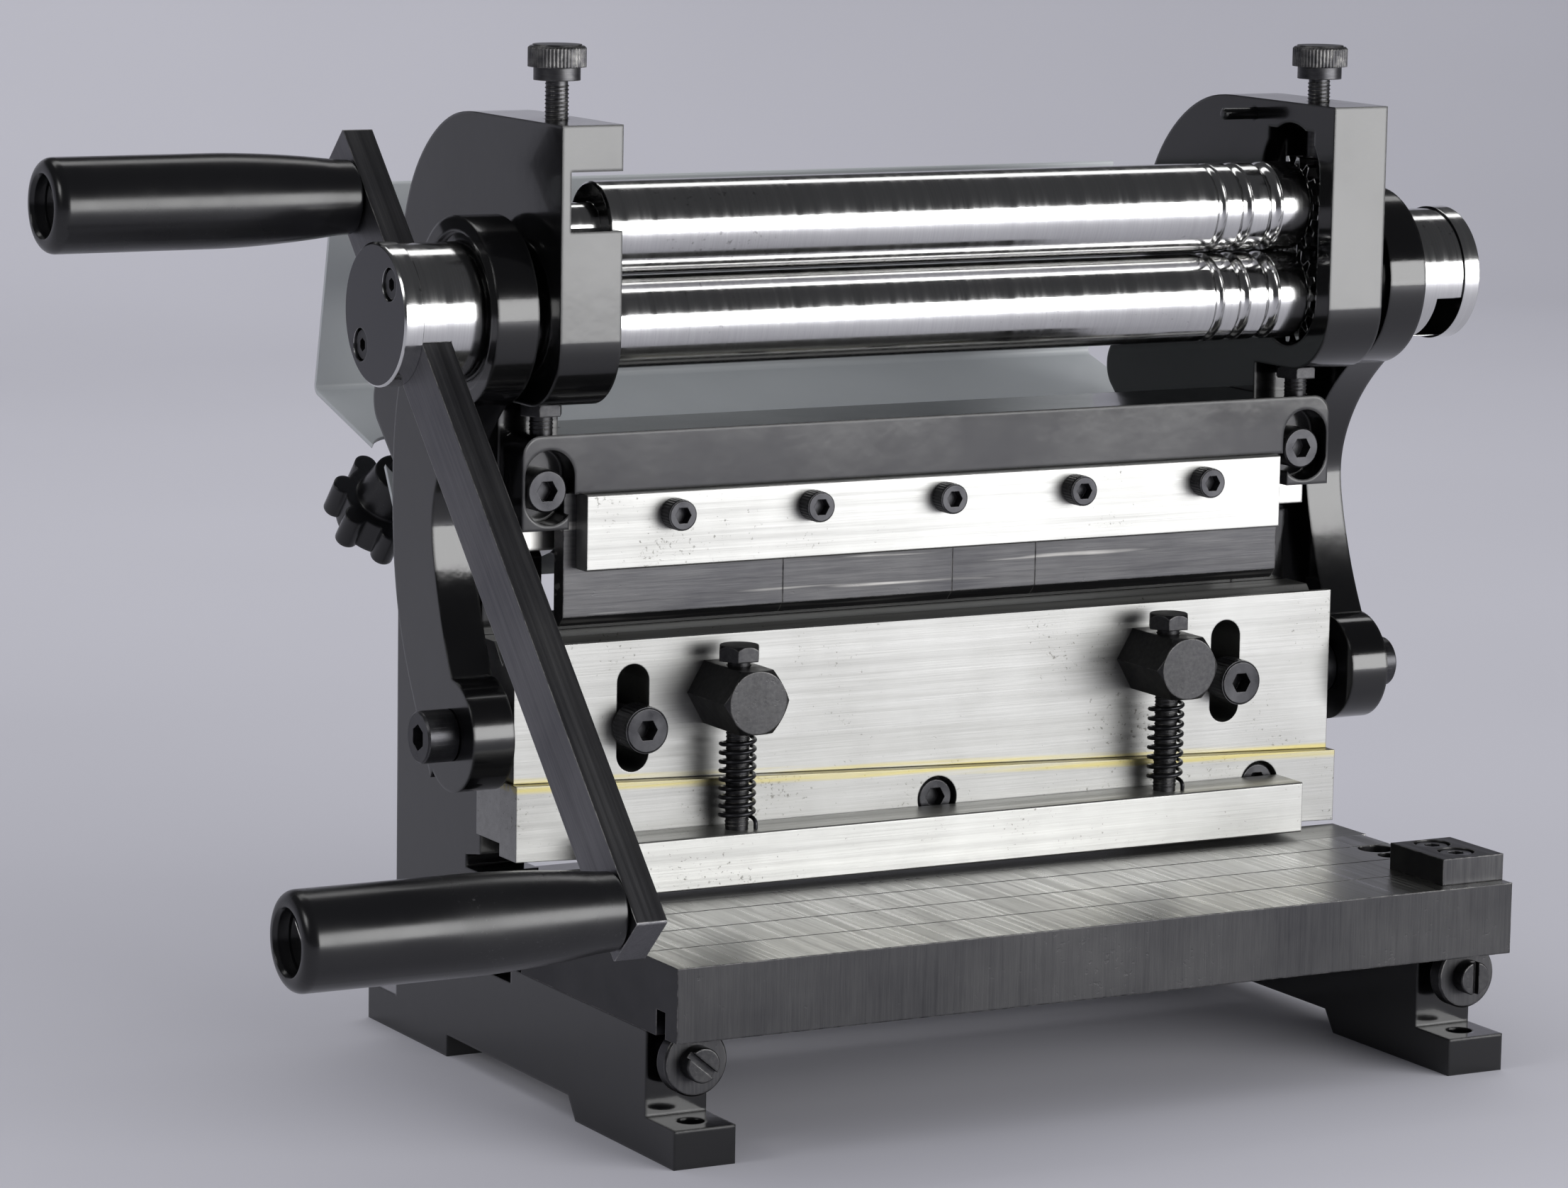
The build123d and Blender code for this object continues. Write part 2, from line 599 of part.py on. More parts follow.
def brake_beam():
    """Casting: body between the frames, lip behind the dies, thick lobe on each frame."""
    body = box(-beam_body_half, beam_body_half, beam_front, beam_rear, beam_low, beam_high)
    body += box(-beam_body_half, beam_body_half, die_rear + 0.05, beam_rear, clamp_low + 2.0, beam_low)
    for side in (-1, 1):
        x0, x1 = sorted((side * (beam_body_half - 4), side * beam_half))
        lobe = box(x0, x1, beam_front, seat_front, lobe_low, beam_high)
        lobe -= box(-lobe_in, lobe_in, beam_front - 1, seat_front + 1, lobe_low - 1, beam_low)
        corners = lobe.edges().filter_by(Axis.Y).group_by(Axis.X)[0 if side < 0 else -1]
        body += fillet(corners.sort_by(Axis.Z)[-1], lobe_round)
    for side in (-1, 1):
        x = side * frame_mid
        middle = (recess_low + recess_high) / 2
        body -= Pos(x, beam_front + beam_recess, middle) * Rot(90, 0, 0) * Rot(0, 0, 90) * slot_prism(
            beam_recess_r, recess_high - recess_low, beam_recess + 1)
        body -= rod_y(3.2, beam_front - 1, seat_front + 1, x, beam_screw_z)
        body -= rod_z(3.0, recess_high - 1, beam_high + 1, x, jack_y)
    for x in clamp_screws:
        body -= rod_y(2.5, die_rear - 1, beam_rear - 4, x, clamp_screw_z)
    return body


def beam_screws():
    screws = []
    for side in (-1, 1):
        screw = socket_screw(5.5, 6.0, 2.95, 19.0, 5.0)
        screws.append(Pos(side * frame_mid, beam_front + beam_recess, beam_screw_z) * Rot(90, 0, 0) * screw)
    return join(screws)


def hex_bolt(flats, head_high, shank_r, length):
    """Hexagon bolt along +Z: head above zero, shank below it."""
    head = extrude(RegularPolygon(flats / 2, 6, major_radius=False), amount=head_high)
    rim = Cone(flats * 0.5 + 0.75 * head_high, flats * 0.5 - 0.05, head_high)
    head = head & (Pos(0, 0, head_high / 2) * rim)
    return head + Pos(0, 0, -length / 2) * Cylinder(shank_r, length)


def beam_jack_bolts():
    """Bolts that bear up against the frame heads and set the height of the brake beam."""
    bolts = []
    for side in (-1, 1):
        bolt = hex_bolt(10.0, 3.6, 2.9, head_under - 3.7 - recess_high - 0.4)
        bolts.append(Pos(side * frame_mid, jack_y, head_under - 3.7) * bolt)
    return join(bolts)


def clamp_plate():
    body = box(-clamp_half, clamp_half, clamp_front, clamp_rear, clamp_low, beam_low - 0.1)
    for x in clamp_screws:
        body -= rod_y(2.6, clamp_front - 1, clamp_rear + 1, x, clamp_screw_z)
    return chamfer(body.edges().filter_by(Axis.X).group_by(Axis.Y)[0], 0.4)


def clamp_plate_screws():
    screws = []
    for x in clamp_screws:
        screw = socket_screw(3.9, 5.0, 2.4, 21.0, 4.0)
        screws.append(Pos(x, clamp_front, clamp_screw_z) * Rot(90, 0, 0) * screw)
    return join(screws)


def die_segments():
    """Brake die in four lengths: clamped bar with a bevelled working edge."""
    outline = [(die_front, die_low + 2.6), (vee_y - 0.3, die_low), (vee_y + 0.3, die_low),
               (die_rear, die_low + 2.6), (die_rear, die_high), (die_front, die_high)]
    start = -sum(die_lengths) / 2
    segments = []
    for length in die_lengths:
        body = side_plate(polygon(outline), start + 0.05, start + length - 0.05)
        for x in clamp_screws:
            if start - 5 < x < start + length + 5:
                body -= box(x - 2.7, x + 2.7, die_front - 1, die_rear + 1, clamp_screw_z - 2.7, die_high + 1)
        segments.append(body)
        start += length
    return segments


# ---------------------------------------------------------------- hold-down

def hold_down_bosses():
    """Hexagon bars in the face of the ram, bored upright for the hold-down bolts."""
    bosses = []
    for x in (-boss_x, boss_x):
        bar = extrude(RegularPolygon(boss_flats / 2, 6, major_radius=False), amount=ram_front - boss_front)
        turned = Pos(0, 0, (ram_front - boss_front) / 2) * Cone(
            boss_flats * 0.5 + 24.0, boss_flats * 0.5 - 0.1, ram_front - boss_front)
        body = Pos(x, ram_front, boss_z) * Rot(90, 0, 0) * (bar & turned)
        body += rod_y(3.95, ram_front - 0.1, ram_front + 13, x, boss_z)
        bosses.append(body - rod_z(bolt_r + 0.25, boss_z - 20, boss_z + 20, x, bolt_y))
    return join(bosses)


def hold_down_bar():
    body = box(-bar_half, bar_half, bar_front, bar_rear, bar_low, bar_high)
    for x in (-boss_x, boss_x):
        body -= rod_z(bolt_r, bar_high - 9, bar_high + 1, x, bolt_y)
    return chamfer(body.edges().filter_by(Axis.X).group_by(Axis.Y)[0], 0.35)


def hold_down_bolts():
    bolts = []
    seat = boss_z + boss_flats / 2 + bolt_head_gap
    for x in (-boss_x, boss_x):
        bolt = hex_bolt(10.0, 4.0, bolt_r - 0.05, seat - bar_high + 8.5)
        bolts.append(Pos(x, bolt_y, seat) * bolt)
    return join(bolts)


def unit(v):
    size = sqrt(sum(c * c for c in v))
    return tuple(c / size for c in v)


def biarc(p0, t0, p1, t1):
    """Two tangent arcs from p0 along t0 to p1 along t1."""
    v = [b - a for a, b in zip(p0, p1)]
    t = [a + b for a, b in zip(t0, t1)]
    vt = sum(a * b for a, b in zip(v, t))
    k = 2 * (1 - sum(a * b for a, b in zip(t0, t1)))
    vv = sum(a * a for a in v)
    d = (-vt + sqrt(vt * vt + k * vv)) / k
    a = [p + d * q for p, q in zip(p0, t0)]
    b = [p - d * q for p, q in zip(p1, t1)]
    middle = tuple((m + n) / 2 for m, n in zip(a, b))
    tangent = unit([n - m for m, n in zip(a, b)])
    return [Edge.make_tangent_arc(p0, t0, middle), Edge.make_tangent_arc(middle, tangent, p1)]


def spring_nodes(low, high, turns):
    """Points and directions of the spring's middle line, half a turn apart."""
    lead_in = wire_d
    rise = 1.6
    climb = high - low - 2 * (lead_in + rise)
    halves = int(round(2 * turns))
    nodes = []
    for k in range(halves + 1):
        angle = pi * k
        flat = 2 * pi * coil_r * turns / climb
        heading = unit((-sin(angle) * flat, cos(angle) * flat, 1.0))
        z = low + lead_in + rise + climb * k / halves
        nodes.append(((coil_r * cos(angle), coil_r * sin(angle), z), heading))
    return nodes


def hold_down_spring(side):
    low, high = bar_high, boss_z - boss_flats / 2
    nodes = spring_nodes(low, high, coil_turns[side])
    path = []
    up = (0.0, 0.0, 1.0)
    lead = 2.2
    first, first_way = nodes[0]
    start = (first[0], first[1] - lead, low + wire_d)
    path.append(Edge.make_line((start[0], start[1], low), start))
    path += biarc(start, up, first, first_way)
    for (p0, t0), (p1, t1) in zip(nodes, nodes[1:]):
        path += biarc(p0, t0, p1, t1)
    last, last_way = nodes[-1]
    ahead = 1 if last_way[1] > 0 else -1
    end = (last[0], last[1] + ahead * lead, high - wire_d)
    path += biarc(last, last_way, end, up)
    path.append(Edge.make_line(end, (end[0], end[1], high)))
    wire = Wire(path)
    section = Plane(origin=(start[0], start[1], low), z_dir=up) * Circle(wire_d / 2)
    return Pos(side * boss_x, bolt_y, 0) * sweep(section, path=wire), wire


def least_self_gap(wire):
    """Least distance between parts of the tube that are not neighbours along it."""
    count = 700
    points = [wire.position_at(k / count) for k in range(count + 1)]
    step = wire.length / count
    skip = int(pi * coil_r / step)
    least = min((points[i] - points[j]).length for i in range(0, count + 1, 2)
                for j in range(i + skip, count + 1))
    return least - wire_d


# ---------------------------------------------------------------- table

def table():
    body = box(-table_half, table_half, table_front, table_rear, table_low, table_high)
    body -= box(-table_half - 1, table_half + 1, blade_seam, table_rear + 1, lower_blade_low, table_high + 1)
    for y in scribe_lines:
        body -= box(-table_half - 1, table_half + 1, y - 0.25, y + 0.25, table_high - 0.3, table_high + 1)
    for side in (-1, 1):
        x0, x1 = sorted((side * (adjuster_x - 9.4), side * (table_half + 1)))
        body -= box(x0, x1, washer_y0 - 0.3, washer_y1 + 0.3, table_low - 1, 38.2)
    for x, y, r in table_holes:
        for side in (-1, 1):
            body -= rod_z(r, table_high - table_hole_deep, table_high + 1, side * x, y)
    for y in stop_screws:
        body -= rod_z(2.5, table_high - 10, table_high + 1, (stop_x0 + stop_x1) / 2, y)
    for x in blade_bolt_places:
        body -= rod_z(3.1, table_low - 1, lower_blade_low + 1, x, (blade_seam + table_rear) / 2)
        body -= rod_z(5.4, table_low - 1, table_low + blade_bolt_sunk, x, (blade_seam + table_rear) / 2)
    return body


def lower_blade():
    half = blade_half - 0.1
    body = box(-half, half, blade_seam + 0.05, table_rear, lower_blade_low + 0.02, table_high)
    for x in blade_bolt_places:
        body -= rod_z(2.5, lower_blade_low - 1, lower_blade_low + 9, x, (blade_seam + table_rear) / 2)
    return body


def lower_blade_screws():
    screws = []
    for x in blade_bolt_places:
        screw = Rot(180, 0, 0) * socket_screw(4.9, 4.0, 2.45, 9.0, 4.0)
        screws.append(Pos(x, (blade_seam + table_rear) / 2, table_low + blade_bolt_sunk) * screw)
    return join(screws)


def stop_block():
    body = box(stop_x0, stop_x1, stop_y0, stop_y1, table_high + 0.02, table_high + stop_high)
    for y in stop_screws:
        x = (stop_x0 + stop_x1) / 2
        body -= rod_z(4.9, table_high + stop_high - 3.6, table_high + stop_high + 1, x, y)
        body -= rod_z(2.6, table_high - 1, table_high + stop_high, x, y)
    return body


def stop_block_screws():
    x = (stop_x0 + stop_x1) / 2
    screw = socket_screw(4.4, 3.2, 2.4, 11.0, 4.0)
    return join([Pos(x, y, table_high + stop_high - 3.6) * screw for y in stop_screws])


def adjuster_screw(side):
    """Slotted screw in the frame's pillar; its head traps the washer in the table's groove."""
    body = rod_y(adjuster_head_r, adjuster_head_y, washer_y0, 0, 0)
    body = chamfer(body.edges().sort_by(Axis.Y)[0], 0.3)
    slot = box(-6, 6, adjuster_head_y - 1, adjuster_head_y + 1.7, -0.9, 0.9)
    body -= Rot(0, adjuster_slot_turn[side], 0) * slot
    body += rod_y(2.9, washer_y0, pillar_front + 20, 0, 0)
    return Pos(side * adjuster_x, 0, adjuster_z) * body


def adjuster_washer(side):
    ring = rod_y(washer_r, washer_y0 + 0.02, washer_y1, 0, 0)
    ring = chamfer(ring.edges().group_by(Axis.Y)[0], 0.5)
    ring -= rod_y(2.95, washer_y0 - 1, washer_y1 + 1, 0, 0)
    return Pos(side * adjuster_x, 0, adjuster_z) * ring


# ---------------------------------------------------------------- rear roll and guard

def rear_roll():
    body = rod_x(roll_r, -roll_half, roll_half, rear_y, rear_z)
    body = chamfer(body.edges().group_by(Axis.X)[0] + body.edges().group_by(Axis.X)[-1], roll_bevel)
    reach = frame_in + slot_depth - 1.0
    return body + rod_x(rear_journal, -reach, reach, rear_y, rear_z)


def rear_roll_block(side):
    thick = slot_depth - 0.8
    body = on_rear_axis(frame_in + 0.5 + thick / 2, 0) * Box(thick, 2 * slot_half - 0.4, 2 * block_half)
    body -= rod_x(rear_journal + run_gap, frame_in, frame_in + slot_depth + 1, rear_y, rear_z)
    return mirror_to(side, body)


def star_knob(side):
    """Seven-lobed hand knob on its stud."""
    disc = Cylinder(knob_r - 1.6, knob_thick)
    for k in range(star_lobes):
        angle = radians(360 / star_lobes * k)
        place = Pos((knob_r - 1.2) * cos(angle), (knob_r - 1.2) * sin(angle), 0)
        disc += place * Cylinder(lobe_r, knob_thick)
    for k in range(star_lobes):
        angle = radians(360 / star_lobes * (k + 0.5))
        disc -= Pos((knob_r + 2.1) * cos(angle), (knob_r + 2.1) * sin(angle), 0) * Cylinder(3.6, knob_thick + 2)
    body = disc + Pos(0, 0, -knob_thick / 2 - 5) * Cone(6.4, 8.6, 10)
    start = block_half + 0.3
    body = on_rear_axis(side * frame_mid, knob_at) * body
    reach = knob_at - start - 4
    return body + on_rear_axis(side * frame_mid, start + reach / 2) * Cylinder(2.9, reach)


def rear_guard():
    """Folded sheet behind the rolls, screwed to the rear edges of the frames."""
    near = rear_edge + 0.1 + guard_sheet / 2
    points = [(near, guard_low), (near, guard_turn), *guard_line]
    path = FilletPolyline(*points[:-1], radius=guard_bend_r) + Line(points[-2], points[-1])
    strip = offset(path, guard_sheet / 2, side=Side.BOTH)
    body = extrude(Plane.YZ.offset(-frame_out) * make_face(strip.edges()), amount=2 * frame_out)
    for side in (-1, 1):
        body -= on_rear_axis(side * frame_mid, lug_at + 6) * Cylinder(9.4, 26)
        body -= rod_y(2.1, rear_edge - 5, rear_edge + 5, side * frame_mid, guard_screw_z)
    return body


os.makedirs("parts", exist_ok=True)
for side, name in ((-1, "left"), (1, "right")):
    save(side_frame(side), f"{name}_frame")
    save(hub(side), f"{name}_hub")
    save(hub_plate(side), f"{name}_hub_plate")
    save(connecting_rod(side), f"{name}_rod")
    save(rod_pin(side), f"{name}_rod_pin")
    save(thumbscrew(side), f"{name}_thumbscrew")
    save(star_knob(side), f"{name}_star_knob")
    save(adjuster_screw(side), f"{name}_adjuster_screw")
    save(adjuster_washer(side), f"{name}_adjuster_washer")
    coil, line = hold_down_spring(side)
    save(coil, f"{name}_spring")
    print(name, "spring: volume over section times length",
          round(coil.volume / (pi * wire_d ** 2 / 4 * line.length), 4),
          "least gap to itself", round(least_self_gap(line), 2), "mm")

save(left_roll_bearing(), "left_roll_bearing")
save(right_roll_bearing(), "right_roll_bearing")
save(join([rear_roll_block(-1), rear_roll_block(1)]), "rear_roll_blocks")
for number, segment in enumerate(die_segments(), 1):
    save(segment, f"die_segment_{number}")
for name, along in (("lower", grip_long_at), ("upper", -grip_short_at)):
    save(grip(along), f"{name}_grip")
    save(grip_spindle(along), f"{name}_grip_spindle")

single_pieces = {
    "cross_plate": cross_plate,
    "rear_tie": rear_tie,
    "roll_pin": roll_pin,
    "rear_screws": rear_screws,
    "lower_roll": lower_roll,
    "upper_roll": upper_roll,
    "hub_plate_screws": hub_plate_screws,
    "lever_bar": lever_bar,
    "ram_plate": ram_plate,
    "upper_blade": upper_blade,
    "upper_blade_screws": upper_blade_screws,
    "ram_guide_screws": guide_screws,
    "brake_beam": brake_beam,
    "beam_screws": beam_screws,
    "beam_jack_bolts": beam_jack_bolts,
    "clamp_plate": clamp_plate,
    "clamp_screws": clamp_plate_screws,
    "hold_down_bosses": hold_down_bosses,
    "hold_down_bar": hold_down_bar,
    "hold_down_bolts": hold_down_bolts,
    "table": table,
    "lower_blade": lower_blade,
    "lower_blade_screws": lower_blade_screws,
    "stop_block": stop_block,
    "stop_screws": stop_block_screws,
    "rear_roll": rear_roll,
    "rear_guard": rear_guard,
}
for name, build in single_pieces.items():
    save(build(), name)
save(gear(lower_journal, lower_z, 0), "lower_roll_gear")
save(gear(upper_journal, upper_z, 180 / gear_teeth), "upper_roll_gear")
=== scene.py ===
import bpy
import bmesh
import math
from mathutils import Matrix, Vector


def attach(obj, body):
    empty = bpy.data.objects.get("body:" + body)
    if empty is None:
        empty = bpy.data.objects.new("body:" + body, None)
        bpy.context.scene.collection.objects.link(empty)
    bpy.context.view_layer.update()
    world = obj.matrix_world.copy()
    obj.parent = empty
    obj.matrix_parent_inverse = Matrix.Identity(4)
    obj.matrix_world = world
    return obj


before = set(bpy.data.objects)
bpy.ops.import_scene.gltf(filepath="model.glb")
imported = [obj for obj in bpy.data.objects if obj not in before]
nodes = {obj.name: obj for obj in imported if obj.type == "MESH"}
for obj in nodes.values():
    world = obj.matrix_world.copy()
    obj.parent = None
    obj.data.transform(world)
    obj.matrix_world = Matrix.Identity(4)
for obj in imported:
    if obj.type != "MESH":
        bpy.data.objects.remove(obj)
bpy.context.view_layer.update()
mm = 0.001

# small helpers for shader trees

def addNode(tree, kind, **values):
    made = tree.nodes.new(kind)
    for key, value in values.items():
        if hasattr(made, key):
            setattr(made, key, value)
        else:
            made.inputs[key].default_value = value
    return made


def join(tree, start, end):
    tree.links.new(start, end)


def mathNode(tree, operation, first, second=None, clamp=False):
    made = tree.nodes.new("ShaderNodeMath")
    made.operation = operation
    made.use_clamp = clamp
    for socket, value in zip(made.inputs, (first, second)):
        if value is None:
            continue
        if isinstance(value, (int, float)):
            socket.default_value = value
        else:
            tree.links.new(value, socket)
    return made.outputs[0]


def rangeNode(tree, value, low, high, start=0.0, end=1.0):
    made = tree.nodes.new("ShaderNodeMapRange")
    made.clamp = True
    tree.links.new(value, made.inputs["Value"])
    made.inputs["From Min"].default_value = low
    made.inputs["From Max"].default_value = high
    made.inputs["To Min"].default_value = start
    made.inputs["To Max"].default_value = end
    return made.outputs["Result"]


def mixColour(tree, factor, first, second):
    made = tree.nodes.new("ShaderNodeMix")
    made.data_type = "RGBA"
    sockets = [s for s in made.inputs if s.type == "RGBA"]
    for socket, value in zip(sockets, (first, second)):
        if isinstance(value, tuple):
            socket.default_value = (*value, 1.0)
        else:
            tree.links.new(value, socket)
    if isinstance(factor, float):
        made.inputs[0].default_value = factor
    else:
        tree.links.new(factor, made.inputs[0])
    return [s for s in made.outputs if s.type == "RGBA"][0]


def noiseNode(tree, vector, scale, detail=3.0, roughness=0.55, seed=0.0):
    made = addNode(tree, "ShaderNodeTexNoise", noise_dimensions="4D")
    made.inputs["Scale"].default_value = scale
    made.inputs["Detail"].default_value = detail
    made.inputs["Roughness"].default_value = roughness
    made.inputs["W"].default_value = seed
    tree.links.new(vector, made.inputs["Vector"])
    return made.outputs["Fac"]


def newGroup(name, inputs, outputs):
    group = bpy.data.node_groups.new(name, "ShaderNodeTree")
    for label, kind, value in inputs:
        socket = group.interface.new_socket(label, in_out="INPUT", socket_type=kind)
        socket.default_value = value
    for label, kind in outputs:
        group.interface.new_socket(label, in_out="OUTPUT", socket_type=kind)
    source = group.nodes.new("NodeGroupInput")
    sink = group.nodes.new("NodeGroupOutput")
    source.location, sink.location = (-900, 0), (600, 0)
    return group, source.outputs, sink.inputs


def useGroup(tree, group, **values):
    made = tree.nodes.new("ShaderNodeGroup")
    made.node_tree = group
    for key, value in values.items():
        made.inputs[key].default_value = value
    return made.outputs


# effects that several finishes share

def makeEdgeGroup():
    # worn and softened edges: compares a bevelled normal with the flat one
    group, given, out = newGroup(
        "softWornEdges",
        [("Radius", "NodeSocketFloat", 0.0006), ("Breakup", "NodeSocketFloat", 400.0)],
        [("Wear", "NodeSocketFloat"), ("Normal", "NodeSocketVector")])
    bevel = addNode(group, "ShaderNodeBevel", samples=6)
    join(group, given["Radius"], bevel.inputs["Radius"])
    geometry = addNode(group, "ShaderNodeNewGeometry")
    dot = addNode(group, "ShaderNodeVectorMath", operation="DOT_PRODUCT")
    join(group, bevel.outputs[0], dot.inputs[0])
    join(group, geometry.outputs["Normal"], dot.inputs[1])
    bend = rangeNode(group, dot.outputs["Value"], 0.995, 0.86)
    place = addNode(group, "ShaderNodeTexCoord").outputs["Object"]
    rough = noiseNode(group, place, 1.0, 4.0, 0.6)
    join(group, given["Breakup"], rough.node.inputs["Scale"])
    broken = rangeNode(group, rough, 0.40, 0.62)
    join(group, mathNode(group, "MULTIPLY", bend, broken), out["Wear"])
    join(group, bevel.outputs[0], out["Normal"])
    return group


def makeGrainGroup():
    # fine scratches drawn out along one axis; Density is lines per metre on each axis
    group, given, out = newGroup(
        "drawnGrain",
        [("Density", "NodeSocketVector", (40.0, 2500.0, 2500.0)), ("Tilt", "NodeSocketFloat", 0.0),
         ("Seed", "NodeSocketFloat", 0.0)],
        [("Lines", "NodeSocketFloat"), ("Streaks", "NodeSocketFloat")])
    place = addNode(group, "ShaderNodeTexCoord").outputs["Object"]
    tilted = addNode(group, "ShaderNodeVectorRotate", rotation_type="X_AXIS")
    join(group, place, tilted.inputs["Vector"])
    join(group, given["Tilt"], tilted.inputs["Angle"])
    stretched = addNode(group, "ShaderNodeVectorMath", operation="MULTIPLY")
    join(group, tilted.outputs[0], stretched.inputs[0])
    join(group, given["Density"], stretched.inputs[1])
    fine = noiseNode(group, stretched.outputs[0], 1.0, 3.0, 0.65)
    coarse = noiseNode(group, stretched.outputs[0], 0.22, 2.0, 0.5)
    for value in (fine, coarse):
        join(group, given["Seed"], value.node.inputs["W"])
    join(group, fine, out["Lines"])
    join(group, coarse, out["Streaks"])
    return group


def makeSpotGroup():
    # small pits and stains: Spots are sharp dots, Stain is a slow cloud
    group, given, out = newGroup(
        "spotsAndStains",
        [("Size", "NodeSocketFloat", 900.0), ("Cover", "NodeSocketFloat", 0.5),
         ("Cloud", "NodeSocketFloat", 30.0), ("Seed", "NodeSocketFloat", 0.0)],
        [("Spots", "NodeSocketFloat"), ("Stain", "NodeSocketFloat")])
    place = addNode(group, "ShaderNodeTexCoord").outputs["Object"]
    dots = noiseNode(group, place, 1.0, 5.0, 0.6)
    join(group, given["Size"], dots.node.inputs["Scale"])
    cloud = noiseNode(group, place, 1.0, 4.0, 0.6)
    join(group, given["Cloud"], cloud.node.inputs["Scale"])
    for value in (dots, cloud):
        join(group, given["Seed"], value.node.inputs["W"])
    patchy = mathNode(group, "MULTIPLY", rangeNode(group, cloud, 0.40, 0.68), 0.16)
    level = mathNode(group, "ADD", dots, patchy)
    lifted = mathNode(group, "ADD", level, mathNode(group, "MULTIPLY", given["Cover"], 0.2))
    join(group, rangeNode(group, lifted, 0.78, 0.86), out["Spots"])
    join(group, rangeNode(group, cloud, 0.35, 0.70), out["Stain"])
    return group


softWornEdges = makeEdgeGroup()
drawnGrain = makeGrainGroup()
spotsAndStains = makeSpotGroup()


def newMaterial(name):
    made = bpy.data.materials.new(name)
    made.use_nodes = True
    tree = made.node_tree
    shader = next(n for n in tree.nodes if n.type == "BSDF_PRINCIPLED")
    return made, tree, shader


def objectPlace(tree):
    place = addNode(tree, "ShaderNodeTexCoord").outputs["Object"]
    parts = addNode(tree, "ShaderNodeSeparateXYZ")
    join(tree, place, parts.inputs[0])
    return parts.outputs


def facing(tree):
    # the flat face's own direction, in the part's frame
    flat = addNode(tree, "ShaderNodeTexCoord").outputs["Normal"]
    parts = addNode(tree, "ShaderNodeSeparateXYZ")
    join(tree, flat, parts.inputs[0])
    return parts.outputs


def bumpNode(tree, height, normal, strength, distance):
    made = addNode(tree, "ShaderNodeBump")
    made.inputs["Strength"].default_value = strength
    made.inputs["Distance"].default_value = distance
    join(tree, height, made.inputs["Height"])
    join(tree, normal, made.inputs["Normal"])
    return made.outputs["Normal"]


def band(tree, value, low, high, soft):
    # 1 between low and high, fading over soft
    rise = rangeNode(tree, value, low - soft, low)
    fall = rangeNode(tree, value, high, high + soft, 1.0, 0.0)
    return mathNode(tree, "MULTIPLY", rise, fall)


# finishes, each with its own values above it

paintLook = {
    "colour": (0.0025, 0.0025, 0.0028),
    "worn": (0.035, 0.034, 0.033),
    "bare": (0.62, 0.61, 0.58),
    "roughness": (0.08, 0.20),
    "coat": 0.25,
    "edge": 1.1 * mm,
}


def makeBlackPaint(name, bareBand=None):
    # thick gloss paint on castings; bareBand is the machined strip that it leaves open
    made, tree, shader = newMaterial(name)
    edges = useGroup(tree, softWornEdges, Radius=paintLook["edge"], Breakup=260.0)
    spots = useGroup(tree, spotsAndStains, Size=700.0, Cover=0.25, Cloud=24.0, Seed=3.0)
    place = addNode(tree, "ShaderNodeTexCoord").outputs["Object"]
    peel = noiseNode(tree, place, 260.0, 2.0, 0.5)
    sag = noiseNode(tree, place, 38.0, 2.0, 0.5, 4.0)
    height = mathNode(tree, "ADD", mathNode(tree, "MULTIPLY", peel, 0.25), sag)
    wear = mathNode(tree, "MULTIPLY", edges["Wear"], 0.35)
    colour = mixColour(tree, wear, paintLook["colour"], paintLook["worn"])
    low, high = paintLook["roughness"]
    rough = rangeNode(tree, spots["Stain"], 0.0, 1.0, low, high)
    normal = bumpNode(tree, height, edges["Normal"], 0.28, 0.35 * mm)
    if bareBand:
        parts = objectPlace(tree)
        face = band(tree, parts["Y"], bareBand["y"] - 0.3 * mm, bareBand["y"] + 0.3 * mm, 0.1 * mm)
        tall = band(tree, parts["Z"], bareBand["low"], bareBand["high"], 0.25 * mm)
        bare = mathNode(tree, "MULTIPLY", face, tall)
        colour = mixColour(tree, bare, colour, paintLook["bare"])
        join(tree, bare, shader.inputs["Metallic"])
        rough = mathNode(tree, "ADD", rough, mathNode(tree, "MULTIPLY", bare, 0.16))
    join(tree, colour, shader.inputs["Base Color"])
    join(tree, rough, shader.inputs["Roughness"])
    join(tree, normal, shader.inputs["Normal"])
    shader.inputs["Coat Weight"].default_value = paintLook["coat"]
    shader.inputs["Coat Roughness"].default_value = 0.05
    return made


groundLook = {
    "colour": (0.47, 0.47, 0.46),
    "dull": (0.31, 0.31, 0.295),
    "pit": (0.10, 0.095, 0.085),
    "roughness": (0.36, 0.50),
    "grease": (0.42, 0.36, 0.12),
    "edge": 0.35 * mm,
    "grain": (30.0, 2600.0, 2600.0),
}


